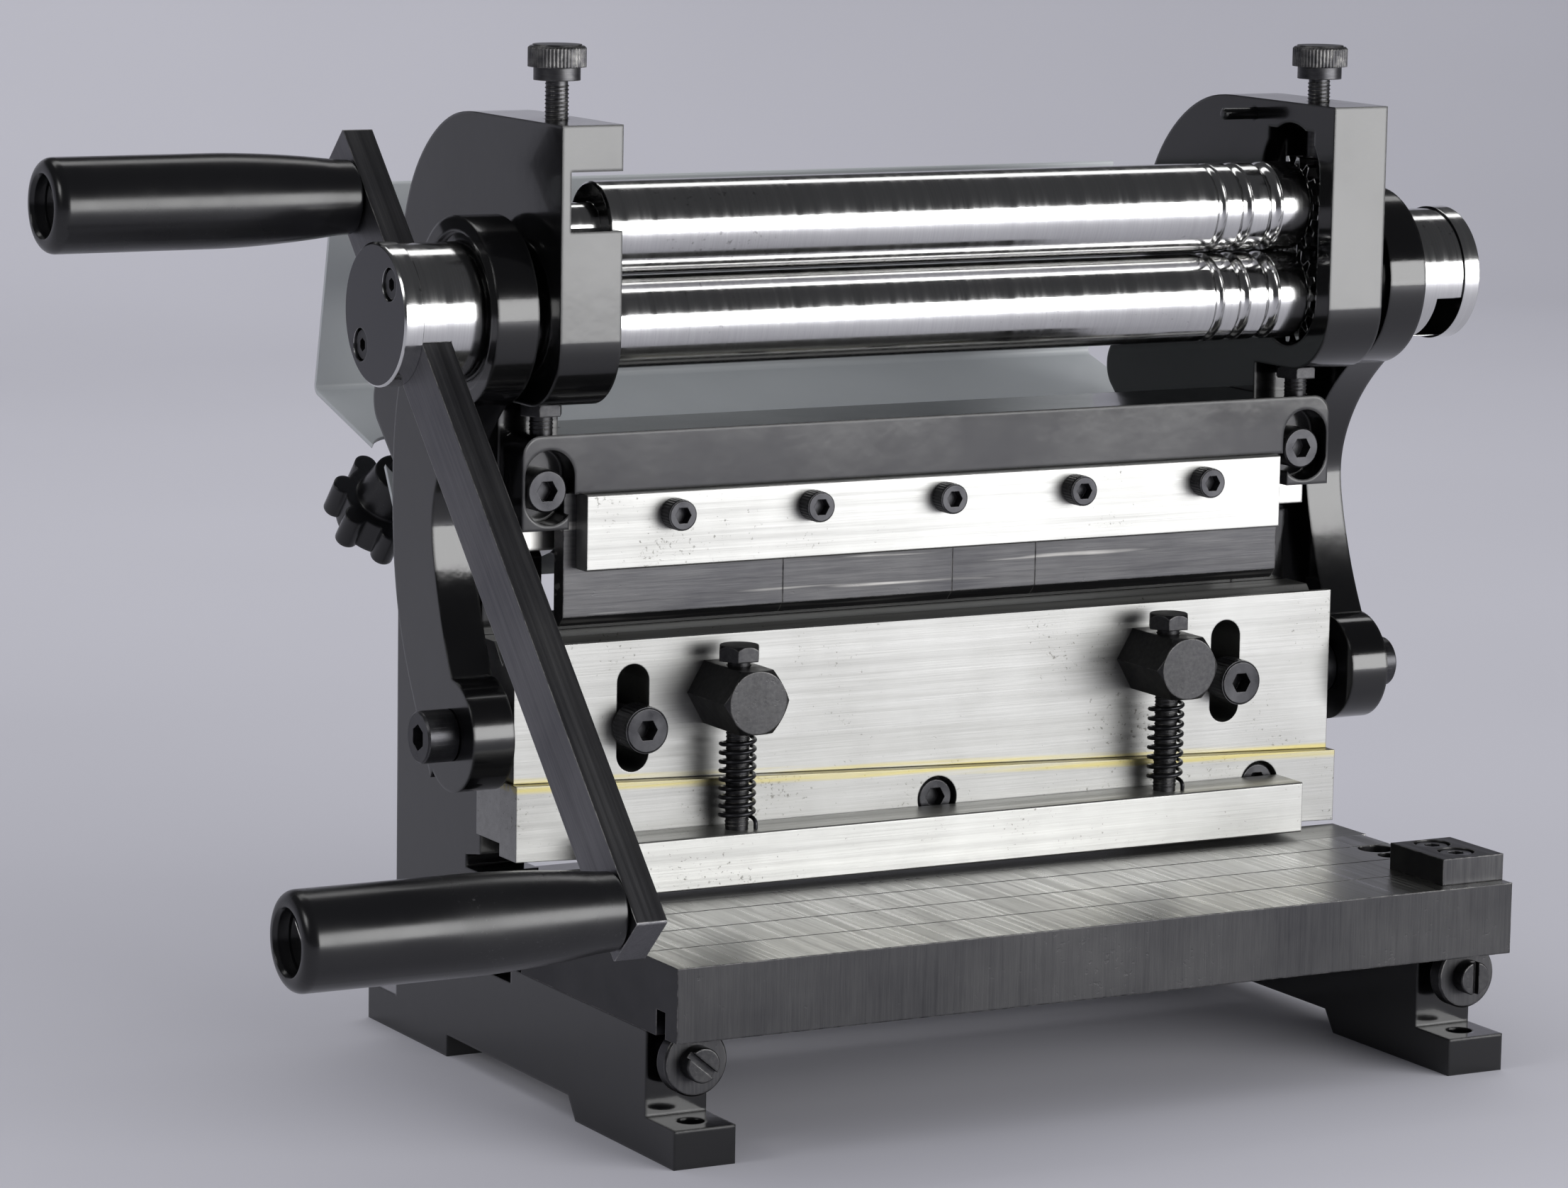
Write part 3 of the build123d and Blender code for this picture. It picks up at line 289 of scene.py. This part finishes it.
def makeGroundSteel(name, seed, cover, grease=None, tone=1.0):
    # bright machined steel with fine grain, pits and dull smudges; grease is a film along a seam
    made, tree, shader = newMaterial(name)
    edges = useGroup(tree, softWornEdges, Radius=groundLook["edge"], Breakup=500.0)
    grain = useGroup(tree, drawnGrain, Density=groundLook["grain"], Seed=seed)
    spots = useGroup(tree, spotsAndStains, Size=900.0, Cover=cover, Cloud=26.0, Seed=seed)
    bright = tuple(c * tone for c in groundLook["colour"])
    dull = tuple(c * tone for c in groundLook["dull"])
    smudge = mathNode(tree, "MULTIPLY", spots["Stain"], 0.45)
    lines = mathNode(tree, "MULTIPLY", rangeNode(tree, grain["Lines"], 0.35, 0.75), 0.40)
    colour = mixColour(tree, mathNode(tree, "ADD", smudge, lines, True), bright, dull)
    colour = mixColour(tree, mathNode(tree, "MULTIPLY", spots["Spots"], 0.75), colour, groundLook["pit"])
    if grease:
        parts = objectPlace(tree)
        seam = mathNode(tree, "ADD", parts["Z"], mathNode(tree, "MULTIPLY", parts["X"], grease["slope"]))
        film = band(tree, seam, grease["at"] - grease["half"], grease["at"] + grease["half"], 0.9 * mm)
        broken = rangeNode(tree, grain["Streaks"], 0.35, 0.60)
        film = mathNode(tree, "MULTIPLY", film, mathNode(tree, "MULTIPLY", broken, 0.75))
        colour = mixColour(tree, film, colour, groundLook["grease"])
    join(tree, colour, shader.inputs["Base Color"])
    low, high = groundLook["roughness"]
    rough = rangeNode(tree, grain["Streaks"], 0.3, 0.7, low, high)
    join(tree, rough, shader.inputs["Roughness"])
    height = mathNode(tree, "SUBTRACT", grain["Lines"], spots["Spots"])
    join(tree, bumpNode(tree, height, edges["Normal"], 0.22, 0.06 * mm), shader.inputs["Normal"])
    shader.inputs["Metallic"].default_value = 1.0
    return made


turnedLook = {
    "colour": (0.66, 0.66, 0.655),
    "dark": (0.30, 0.295, 0.285),
    "pit": (0.09, 0.085, 0.075),
    # painted shade: near-black colour for the flat ends of turned parts, standing in for their dark
    # reflection
    "end": (0.085, 0.085, 0.09),
    "roughness": (0.10, 0.19),
    "grain": (2600.0, 8.0, 8.0),
}


def makeTurnedSteel(name, seed, tone=1.0, shadedEndTone=None):
    # lathe-turned steel: rings round the X axis, a few stains; the optional end tone is painted shade that
    # darkens the flat faces across the axis
    made, tree, shader = newMaterial(name)
    edges = useGroup(tree, softWornEdges, Radius=0.4 * mm, Breakup=420.0)
    grain = useGroup(tree, drawnGrain, Density=turnedLook["grain"], Seed=seed)
    spots = useGroup(tree, spotsAndStains, Size=620.0, Cover=0.16, Cloud=20.0, Seed=seed + 2.0)
    bright = tuple(c * tone for c in turnedLook["colour"])
    stain = mathNode(tree, "MULTIPLY", spots["Stain"], 0.18)
    rings = mathNode(tree, "MULTIPLY", rangeNode(tree, grain["Lines"], 0.35, 0.7), 0.20)
    colour = mixColour(tree, mathNode(tree, "ADD", stain, rings, True), bright, turnedLook["dark"])
    pitted = mathNode(tree, "MULTIPLY", spots["Spots"], 0.5)
    colour = mixColour(tree, pitted, colour, turnedLook["pit"])
    if shadedEndTone:
        # painted shade: faces across the axis take a near-black colour in place of the dark reflection they
        # show
        across = mathNode(tree, "ABSOLUTE", facing(tree)["X"])
        shadedEnds = rangeNode(tree, across, 0.90, 0.97)
        colour = mixColour(tree, shadedEnds, colour, shadedEndTone)
    join(tree, colour, shader.inputs["Base Color"])
    low, high = turnedLook["roughness"]
    join(tree, rangeNode(tree, grain["Streaks"], 0.3, 0.7, low, high), shader.inputs["Roughness"])
    join(tree, bumpNode(tree, grain["Lines"], edges["Normal"], 0.05, 0.02 * mm), shader.inputs["Normal"])
    shader.inputs["Metallic"].default_value = 1.0
    return made


darkLook = {
    "colour": (0.036, 0.036, 0.040),
    "light": (0.105, 0.104, 0.104),
    "worn": (0.46, 0.45, 0.43),
    "roughness": (0.34, 0.50),
    "topColour": (0.30, 0.30, 0.29),
    "topDull": (0.155, 0.155, 0.15),
    "topPit": (0.06, 0.055, 0.05),
    "topGrain": (60.0, 2600.0, 60.0),
}


def makeDarkSteel(name, seed, density, tone, wearAmount=0.6, topBright=False, flecks=0.0, tilt=0.0,
                  contrast=0.35):
    # blackened or oiled steel; topBright leaves upward faces ground, flecks shows metal through
    made, tree, shader = newMaterial(name)
    edges = useGroup(tree, softWornEdges, Radius=0.5 * mm, Breakup=380.0)
    grain = useGroup(tree, drawnGrain, Density=density, Tilt=tilt, Seed=seed)
    spots = useGroup(tree, spotsAndStains, Size=520.0, Cover=0.3, Cloud=18.0, Seed=seed + 1.0)
    deep = tuple(c * tone for c in darkLook["colour"])
    light = tuple(c * tone for c in darkLook["light"])
    lines = rangeNode(tree, grain["Lines"], 0.35, 0.70)
    cloud = mathNode(tree, "MULTIPLY", spots["Stain"], 0.45)
    mixed = mathNode(tree, "ADD", mathNode(tree, "MULTIPLY", lines, contrast), cloud, True)
    colour = mixColour(tree, mixed, deep, light)
    rubbed = mathNode(tree, "MULTIPLY", edges["Wear"], wearAmount)
    colour = mixColour(tree, rubbed, colour, darkLook["worn"])
    if flecks:
        shown = mathNode(tree, "MULTIPLY", rangeNode(tree, grain["Streaks"], 0.60, 0.66), flecks)
        shown = mathNode(tree, "MULTIPLY", shown, spots["Stain"])
        colour = mixColour(tree, shown, colour, darkLook["worn"])
    low, high = darkLook["roughness"]
    rough = rangeNode(tree, grain["Streaks"], 0.3, 0.7, low, high)
    if topBright:
        top = rangeNode(tree, facing(tree)["Z"], 0.90, 0.97)
        across = useGroup(tree, drawnGrain, Density=darkLook["topGrain"], Seed=seed + 5.0)
        pits = useGroup(tree, spotsAndStains, Size=560.0, Cover=0.42, Cloud=16.0, Seed=seed + 9.0)
        dulled = mathNode(tree, "ADD", mathNode(tree, "MULTIPLY", pits["Stain"], 0.6),
                          mathNode(tree, "MULTIPLY", across["Lines"], 0.22), True)
        face = mixColour(tree, dulled, darkLook["topColour"], darkLook["topDull"])
        face = mixColour(tree, mathNode(tree, "MULTIPLY", pits["Spots"], 0.7), face, darkLook["topPit"])
        colour = mixColour(tree, top, colour, face)
        rough = mathNode(tree, "SUBTRACT", rough, mathNode(tree, "MULTIPLY", top, 0.10))
    join(tree, colour, shader.inputs["Base Color"])
    join(tree, rough, shader.inputs["Roughness"])
    height = mathNode(tree, "SUBTRACT", grain["Lines"], spots["Spots"])
    join(tree, bumpNode(tree, height, edges["Normal"], 0.25, 0.07 * mm), shader.inputs["Normal"])
    shader.inputs["Metallic"].default_value = 1.0
    return made


oxideLook = {
    "colour": (0.030, 0.030, 0.033),
    "light": (0.085, 0.085, 0.09),
    "springColour": (0.016, 0.016, 0.018),
    "springLight": (0.05, 0.05, 0.055),
    "rubbed": (0.34, 0.33, 0.32),
    "roughness": (0.26, 0.42),
}


def makeOxide(name, seed, colour, light):
    # black-oxide fasteners and springs with rubbed edges
    made, tree, shader = newMaterial(name)
    edges = useGroup(tree, softWornEdges, Radius=0.25 * mm, Breakup=900.0)
    spots = useGroup(tree, spotsAndStains, Size=1500.0, Cover=0.3, Cloud=120.0, Seed=seed)
    mixed = mixColour(tree, mathNode(tree, "MULTIPLY", spots["Stain"], 0.7), colour, light)
    mixed = mixColour(tree, mathNode(tree, "MULTIPLY", edges["Wear"], 0.55), mixed, oxideLook["rubbed"])
    rough = rangeNode(tree, spots["Stain"], 0.0, 1.0, *oxideLook["roughness"])
    join(tree, mixed, shader.inputs["Base Color"])
    join(tree, rough, shader.inputs["Roughness"])
    join(tree, bumpNode(tree, spots["Spots"], edges["Normal"], 0.15, 0.05 * mm), shader.inputs["Normal"])
    shader.inputs["Metallic"].default_value = 0.85
    return made


plasticLook = {
    "colour": (0.0060, 0.0060, 0.0068),
    "dust": (0.050, 0.050, 0.052),
    "roughness": (0.17, 0.34),
}


def makeBlackPlastic(name, seed, edge=0.6 * mm):
    # moulded black plastic, polished by hands, with a little dust
    made, tree, shader = newMaterial(name)
    edges = useGroup(tree, softWornEdges, Radius=edge, Breakup=300.0)
    spots = useGroup(tree, spotsAndStains, Size=1100.0, Cover=0.2, Cloud=22.0, Seed=seed)
    place = addNode(tree, "ShaderNodeTexCoord").outputs["Object"]
    ripple = noiseNode(tree, place, 70.0, 1.0, 0.4, seed)
    dusty = mathNode(tree, "MULTIPLY", spots["Spots"], 0.45)
    colour = mixColour(tree, dusty, plasticLook["colour"], plasticLook["dust"])
    rough = rangeNode(tree, spots["Stain"], 0.0, 1.0, *plasticLook["roughness"])
    join(tree, colour, shader.inputs["Base Color"])
    join(tree, rough, shader.inputs["Roughness"])
    join(tree, bumpNode(tree, ripple, edges["Normal"], 0.2, 0.2 * mm), shader.inputs["Normal"])
    return made


sheetLook = {
    "colour": (0.47, 0.49, 0.50),
    "faded": (0.40, 0.42, 0.43),
    "worn": (0.62, 0.63, 0.62),
    "roughness": (0.36, 0.5),
}


def makeGreySheet(name):
    # pale grey painted sheet metal
    made, tree, shader = newMaterial(name)
    edges = useGroup(tree, softWornEdges, Radius=0.4 * mm, Breakup=300.0)
    spots = useGroup(tree, spotsAndStains, Size=500.0, Cover=0.2, Cloud=14.0, Seed=8.0)
    faded = mathNode(tree, "MULTIPLY", spots["Stain"], 0.5)
    rubbed = mathNode(tree, "MULTIPLY", edges["Wear"], 0.4)
    colour = mixColour(tree, faded, sheetLook["colour"], sheetLook["faded"])
    colour = mixColour(tree, rubbed, colour, sheetLook["worn"])
    rough = rangeNode(tree, spots["Stain"], 0.0, 1.0, *sheetLook["roughness"])
    join(tree, colour, shader.inputs["Base Color"])
    join(tree, rough, shader.inputs["Roughness"])
    join(tree, edges["Normal"], shader.inputs["Normal"])
    return made


seatStrip = {"y": 12.5 * mm, "low": 137.2 * mm, "high": 144.2 * mm}
shearSeam = {"slope": 0.036, "at": 75.0 * mm, "half": 1.1 * mm}
leverTilt = math.radians(-45.7)      # grain runs along the lever

finishes = {
    "framePaint": makeBlackPaint("framePaint", seatStrip),
    "blackPaint": makeBlackPaint("blackPaint"),
    "ramSteel": makeGroundSteel("ramSteel", 1.0, cover=0.36, grease=shearSeam, tone=0.78),
    "bladeSteel": makeGroundSteel("bladeSteel", 2.0, cover=0.46, grease=shearSeam, tone=0.72),
    "clampSteel": makeGroundSteel("clampSteel", 3.0, cover=0.24, tone=0.90),
    "barSteel": makeGroundSteel("barSteel", 4.0, cover=0.34, tone=0.95),
    "lowerBladeSteel": makeGroundSteel("lowerBladeSteel", 5.0, cover=0.44, tone=0.72),
    "rollSteel": makeTurnedSteel("rollSteel", 1.0),
    "hubSteel": makeTurnedSteel("hubSteel", 4.0),
    "hubPlateSteel": makeTurnedSteel("hubPlateSteel", 6.0, tone=1.1, shadedEndTone=turnedLook["end"]),
    "knobSteel": makeDarkSteel("knobSteel", 7.0, (300.0, 300.0, 2600.0), 1.3, wearAmount=0.8),
    "leverSteel": makeDarkSteel("leverSteel", 2.0, (2600.0, 40.0, 2600.0), 2.6, wearAmount=0.8,
                                tilt=leverTilt, contrast=0.25),
    "tableSteel": makeDarkSteel("tableSteel", 3.0, (3600.0, 60.0, 90.0), 0.82, topBright=True,
                                contrast=0.22),
    "dieSteel": makeDarkSteel("dieSteel", 4.0, (50.0, 900.0, 1500.0), 1.1, flecks=0.9),
    "blockSteel": makeDarkSteel("blockSteel", 5.0, (1500.0, 60.0, 60.0), 0.9),
    "bossSteel": makeDarkSteel("bossSteel", 6.0, (900.0, 900.0, 900.0), 0.8, wearAmount=0.45),
    "oxide": makeOxide("oxide", 1.0, oxideLook["colour"], oxideLook["light"]),
    "springOxide": makeOxide("springOxide", 2.0, oxideLook["springColour"], oxideLook["springLight"]),
    "gripPlastic": makeBlackPlastic("gripPlastic", 1.0),
    "starPlastic": makeBlackPlastic("starPlastic", 2.0, 1.1 * mm),
    "guardPaint": makeGreySheet("guardPaint"),
}

wearsFinish = {
    "framePaint": ["left_frame", "right_frame"],
    "blackPaint": ["cross_plate", "rear_tie", "brake_beam", "left_rod", "right_rod", "roll_pin"],
    "ramSteel": ["ram_plate"],
    "bladeSteel": ["upper_blade"],
    "clampSteel": ["clamp_plate"],
    "barSteel": ["hold_down_bar"],
    "lowerBladeSteel": ["lower_blade"],
    "rollSteel": ["lower_roll", "upper_roll", "rear_roll", "lower_roll_gear", "upper_roll_gear"],
    "hubSteel": ["left_hub", "right_hub", "upper_grip_spindle", "lower_grip_spindle"],
    "hubPlateSteel": ["left_hub_plate", "right_hub_plate"],
    "knobSteel": ["left_thumbscrew", "right_thumbscrew"],
    "leverSteel": ["lever_bar"],
    "tableSteel": ["table"],
    "dieSteel": ["die_segment_1", "die_segment_2", "die_segment_3", "die_segment_4"],
    "blockSteel": ["stop_block", "left_roll_bearing", "right_roll_bearing", "rear_roll_blocks",
                   "left_adjuster_washer", "right_adjuster_washer"],
    "bossSteel": ["hold_down_bosses", "hold_down_bolts", "beam_jack_bolts",
                  "left_adjuster_screw", "right_adjuster_screw"],
    "oxide": ["rear_screws", "beam_screws", "clamp_screws", "ram_guide_screws", "lower_blade_screws",
              "stop_screws", "hub_plate_screws", "upper_blade_screws", "left_rod_pin", "right_rod_pin"],
    "springOxide": ["left_spring", "right_spring"],
    "gripPlastic": ["upper_grip", "lower_grip"],
    "starPlastic": ["left_star_knob", "right_star_knob"],
    "guardPaint": ["rear_guard"],
}

for finish, names in wearsFinish.items():
    for name in names:
        piece = nodes[name]
        if not piece.material_slots:
            piece.data.materials.append(finishes[finish])
        for place in piece.material_slots:
            place.material = finishes[finish]
print("finishes on", sum(len(names) for names in wearsFinish.values()), "parts of", len(nodes))


# threads and knurls, in real geometry

def meshPiece(name, points, faces, material, body):
    mesh = bpy.data.meshes.new(name)
    mesh.from_pydata(points, [], faces)
    work = bmesh.new()
    work.from_mesh(mesh)
    bmesh.ops.recalc_face_normals(work, faces=work.faces)
    work.to_mesh(mesh)
    work.free()
    mesh.materials.append(material)
    made = bpy.data.objects.new(name, mesh)
    bpy.context.collection.objects.link(made)
    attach(made, body)


def alongAxis(axis):
    # turns +Z to the given direction
    return Vector((0, 0, 1)).rotation_difference(Vector(axis)).to_matrix()


# base and crest are shares of the pitch; run is how many steps an end takes to rise
threadShape = {"steps": 20, "pitch": 1.0 * mm, "base": 0.46, "crest": 0.06, "run": 8, "bite": 0.25 * mm}


def threadPiece(name, start, axis, length, radii, finish, body):
    # one unbroken ridge wound round a plain shank from start, along axis
    turn = alongAxis(axis)
    root, crest = radii
    steps, pitch, run = threadShape["steps"], threadShape["pitch"], threadShape["run"]
    half, top = threadShape["base"] * pitch, threadShape["crest"] * pitch
    total = int(steps * (length - 2 * half) / pitch)
    points, faces = [], []
    for k in range(total + 1):
        angle = 2 * math.pi * k / steps
        height = half + pitch * k / steps
        fade = min(1.0, k / run, (total - k) / run)
        tip = root + (crest - root) * fade
        inside = root - threadShape["bite"]
        for radius, rise in ((inside, -half), (tip, -top), (tip, top), (inside, half)):
            point = Vector((radius * math.cos(angle), radius * math.sin(angle), height + rise))
            points.append(Vector(start) + turn @ point)
    for k in range(total):
        a, b = 4 * k, 4 * (k + 1)
        for n in range(4):
            faces.append((a + n, a + (n + 1) % 4, b + (n + 1) % 4, b + n))
    faces += [(0, 1, 2, 3), tuple(4 * total + n for n in (3, 2, 1, 0))]
    meshPiece(name, points, faces, finishes[finish], body)


# depths of the rim's inside, its valleys and its ridges past the head's own radius
knurlShape = {
    "inside": -0.4 * mm, "valley": 0.02 * mm, "ridge": 0.16 * mm,
    "start": 0.12, "fall": 0.82, "end": 0.96,    # shares of the head's height
}


def knurlRing(name, start, axis, length, radius, teeth, body):
    # fluted sleeve that gives a socket head its gripping rim
    turn = alongAxis(axis)
    shape = knurlShape
    inside, low, high = (radius + shape[k] for k in ("inside", "valley", "ridge"))
    rows = ((0.0, low, low), (shape["start"], low, high), (shape["fall"], low, high),
            (shape["end"], low, low), (shape["end"], inside, inside), (0.0, inside, inside))
    count = 2 * teeth
    points, faces = [], []
    for share, valley, ridge in rows:
        for k in range(count):
            angle = math.pi * k / teeth
            r = ridge if k % 2 else valley
            point = Vector((r * math.cos(angle), r * math.sin(angle), share * length))
            points.append(Vector(start) + turn @ point)
    for r in range(len(rows)):
        a, b = r * count, ((r + 1) % len(rows)) * count
        for k in range(count):
            faces.append((a + k, a + (k + 1) % count, b + (k + 1) % count, b + k))
    meshPiece(name, points, faces, finishes["oxide"], body)


screwPlaces = {
    "x": 113.8 * mm, "rollY": -2.1 * mm, "headTop": 247.8 * mm, "below": 2.0 * mm,
    "collar": {"left": 257.6 * mm, "right": 254.0 * mm},
    "bossX": 64.8 * mm, "boltY": -11.25 * mm, "barTop": 65.5 * mm, "bossLow": 91.7 * mm,
    "jackY": 5.0 * mm, "beamTop": 168.2 * mm, "jackHead": 172.8 * mm,
    "adjusterZ": 25.0 * mm, "washerBack": -79.4 * mm, "pillarFront": -73.2 * mm,
    "gap": 0.1 * mm,
}
threadRadii = {
    "thumbscrew": (2.78 * mm, 3.05 * mm), "holdDown": (2.93 * mm, 3.15 * mm),
    "jack": (2.88 * mm, 3.1 * mm), "adjuster": (2.88 * mm, 3.1 * mm),
}
knurls = {
    "clamp": {"x": (-79.7, -39.6, 0.0, 39.6, 79.7), "y": -3.0 * mm, "z": 147.0 * mm, "r": 3.9 * mm,
              "high": 5.0 * mm, "teeth": 30},
    "guide": {"x": 89.8 * mm, "y": -1.3 * mm, "z": 92.5 * mm, "r": 6.0 * mm, "high": 8.0 * mm, "teeth": 36},
    "rodPin": {"x": 138.4 * mm, "y": 6.4 * mm, "z": 92.3 * mm, "r": 6.55 * mm, "high": 8.4 * mm, "teeth": 38},
}

at = screwPlaces
gap = at["gap"]
rise, back, front = (0, 0, 1), (0, 1, 0), (0, -1, 0)
for side, label in ((-1, "left"), (1, "right")):
    x, bossX = side * at["x"], side * at["bossX"]
    threadPiece(f"{label}_thumbscrew_thread", (x, at["rollY"], at["headTop"] - at["below"]), rise,
                at["collar"][label] - at["headTop"] + at["below"] - gap, threadRadii["thumbscrew"],
                "knobSteel", f"{label}_top_screw")
    threadPiece(f"{label}_hold_down_thread", (bossX, at["boltY"], at["barTop"] + gap), rise,
                at["bossLow"] - at["barTop"] - 2 * gap, threadRadii["holdDown"],
                "bossSteel", "hold_down")
    threadPiece(f"{label}_jack_thread", (x, at["jackY"], at["beamTop"] + 0.5 * gap), rise,
                at["jackHead"] - at["beamTop"] - gap, threadRadii["jack"],
                "bossSteel", "base")
    threadPiece(f"{label}_adjuster_thread", (x, at["washerBack"] + gap, at["adjusterZ"]), back,
                at["pillarFront"] - at["washerBack"] - 2 * gap, threadRadii["adjuster"],
                "bossSteel", f"{label}_adjuster")

rim = knurls["clamp"]
for number, x in enumerate(rim["x"], 1):
    knurlRing(f"clamp_screw_knurl_{number}", (x * mm, rim["y"], rim["z"]), front, rim["high"], rim["r"],
              rim["teeth"], "base")
for side, label in ((-1, "left"), (1, "right")):
    rim = knurls["guide"]
    knurlRing(f"{label}_guide_screw_knurl", (side * rim["x"], rim["y"], rim["z"]), front, rim["high"],
              rim["r"], rim["teeth"], "base")
    rim = knurls["rodPin"]
    knurlRing(f"{label}_rod_pin_knurl", (side * rim["x"], rim["y"], rim["z"]), (side, 0, 0), rim["high"],
              rim["r"], rim["teeth"], "ram")
print("threads and knurls made")


# floor, light and camera

stageLook = {
    "colour": (0.56, 0.555, 0.60), "cloud": 2.4, "roughness": 0.75, "shine": 0.2,
    "width": 7.0, "front": -3.2, "back": 1.5, "height": 1.1, "bend": 0.9, "steps": 16,
}


def makeStage():
    # pale sweep: flat floor that curves up behind the machine
    made, tree, shader = newMaterial("stageCard")
    place = addNode(tree, "ShaderNodeTexCoord").outputs["Object"]
    cloud = noiseNode(tree, place, stageLook["cloud"], 2.0, 0.5)
    darker, lighter = (tuple(share * c for c in stageLook["colour"]) for share in (0.94, 1.05))
    colour = mixColour(tree, cloud, darker, lighter)
    join(tree, colour, shader.inputs["Base Color"])
    shader.inputs["Roughness"].default_value = stageLook["roughness"]
    shader.inputs["Specular IOR Level"].default_value = stageLook["shine"]
    profile = [(stageLook["front"], 0.0), (0.0, 0.0), (stageLook["back"], 0.0)]
    steps, bend = stageLook["steps"], stageLook["bend"]
    for k in range(1, steps + 1):
        angle = 0.5 * math.pi * k / steps
        profile.append((stageLook["back"] + bend * math.sin(angle), bend * (1 - math.cos(angle))))
    profile.append((stageLook["back"] + bend, stageLook["height"]))
    half = 0.5 * stageLook["width"]
    points = [(x, y, z) for y, z in profile for x in (-half, half)]
    faces = [(2 * k, 2 * k + 1, 2 * k + 3, 2 * k + 2) for k in range(len(profile) - 1)]
    mesh = bpy.data.meshes.new("stageSweep")
    mesh.from_pydata(points, [], faces)
    for polygon in mesh.polygons:
        polygon.use_smooth = True
    mesh.materials.append(made)
    floor = bpy.data.objects.new("stageSweep", mesh)
    bpy.context.collection.objects.link(floor)


def softbox(name, place, aim, width, height, power):
    lamp = bpy.data.lights.new(name, "AREA")
    lamp.shape = "RECTANGLE"
    lamp.size, lamp.size_y = width, height
    lamp.energy = power
    made = bpy.data.objects.new(name, lamp)
    bpy.context.collection.objects.link(made)
    made.location = place
    made.rotation_euler = (Vector(aim) - Vector(place)).to_track_quat("-Z", "Y").to_euler()
    made.visible_camera = False


# place, aim, width, height and power of each softbox
lamps = {
    "frontBox": ((0.65, -1.15, 0.31), (0.0, 0.0, 0.16), 1.25, 0.58, 18.0),
    "leftBox": ((-1.5, -0.2, 0.9), (0.0, 0.0, 0.12), 0.5, 0.5, 4.0),
    "backdropBox": ((0.3, 0.9, 1.5), (0.3, 1.6, 0.0), 2.0, 0.8, 10.0),
}
worldLook = {"colour": (0.80, 0.81, 0.86), "strength": 0.62, "inReflections": 0.07}

makeStage()
for name, values in lamps.items():
    softbox(name, *values)

world = bpy.data.worlds.new("studio")
bpy.context.scene.world = world
world.use_nodes = True
background = next(n for n in world.node_tree.nodes if n.type == "BACKGROUND")
background.inputs["Color"].default_value = (*worldLook["colour"], 1.0)
glossy = addNode(world.node_tree, "ShaderNodeLightPath").outputs["Is Glossy Ray"]
dimmed = rangeNode(world.node_tree, glossy, 0.0, 1.0, worldLook["strength"], worldLook["inReflections"])
join(world.node_tree, dimmed, background.inputs["Strength"])    # a dark room in reflections

photoCamera = {
    "place": (-0.7412, -1.2700, 0.3522), "azimuth": -28.70, "elevation": 8.97, "roll": 0.94,
    "lens": 130.26, "sensor": 36.0,
}


def makeCamera():
    # the photograph's own view
    az, el, roll = (math.radians(photoCamera[key]) for key in ("azimuth", "elevation", "roll"))
    right = Vector((math.cos(az), math.sin(az), 0))
    back = Vector((math.sin(az) * math.cos(el), -math.cos(az) * math.cos(el), math.sin(el)))
    up = back.cross(right)
    tiltedRight = math.cos(roll) * right + math.sin(roll) * up
    tiltedUp = math.cos(roll) * up - math.sin(roll) * right
    turn = Matrix((tiltedRight, tiltedUp, back)).transposed().to_4x4()
    camera = bpy.data.cameras.new("photoCamera")
    camera.lens = photoCamera["lens"]
    camera.sensor_width = photoCamera["sensor"]
    camera.sensor_fit = "HORIZONTAL"
    camera.clip_start = 0.05
    made = bpy.data.objects.new("photoCamera", camera)
    bpy.context.collection.objects.link(made)
    made.matrix_world = Matrix.Translation(photoCamera["place"]) @ turn
    bpy.context.scene.camera = made


makeCamera()
bpy.context.scene.view_settings.view_transform = "Standard"
print("stage, lamps and camera set")
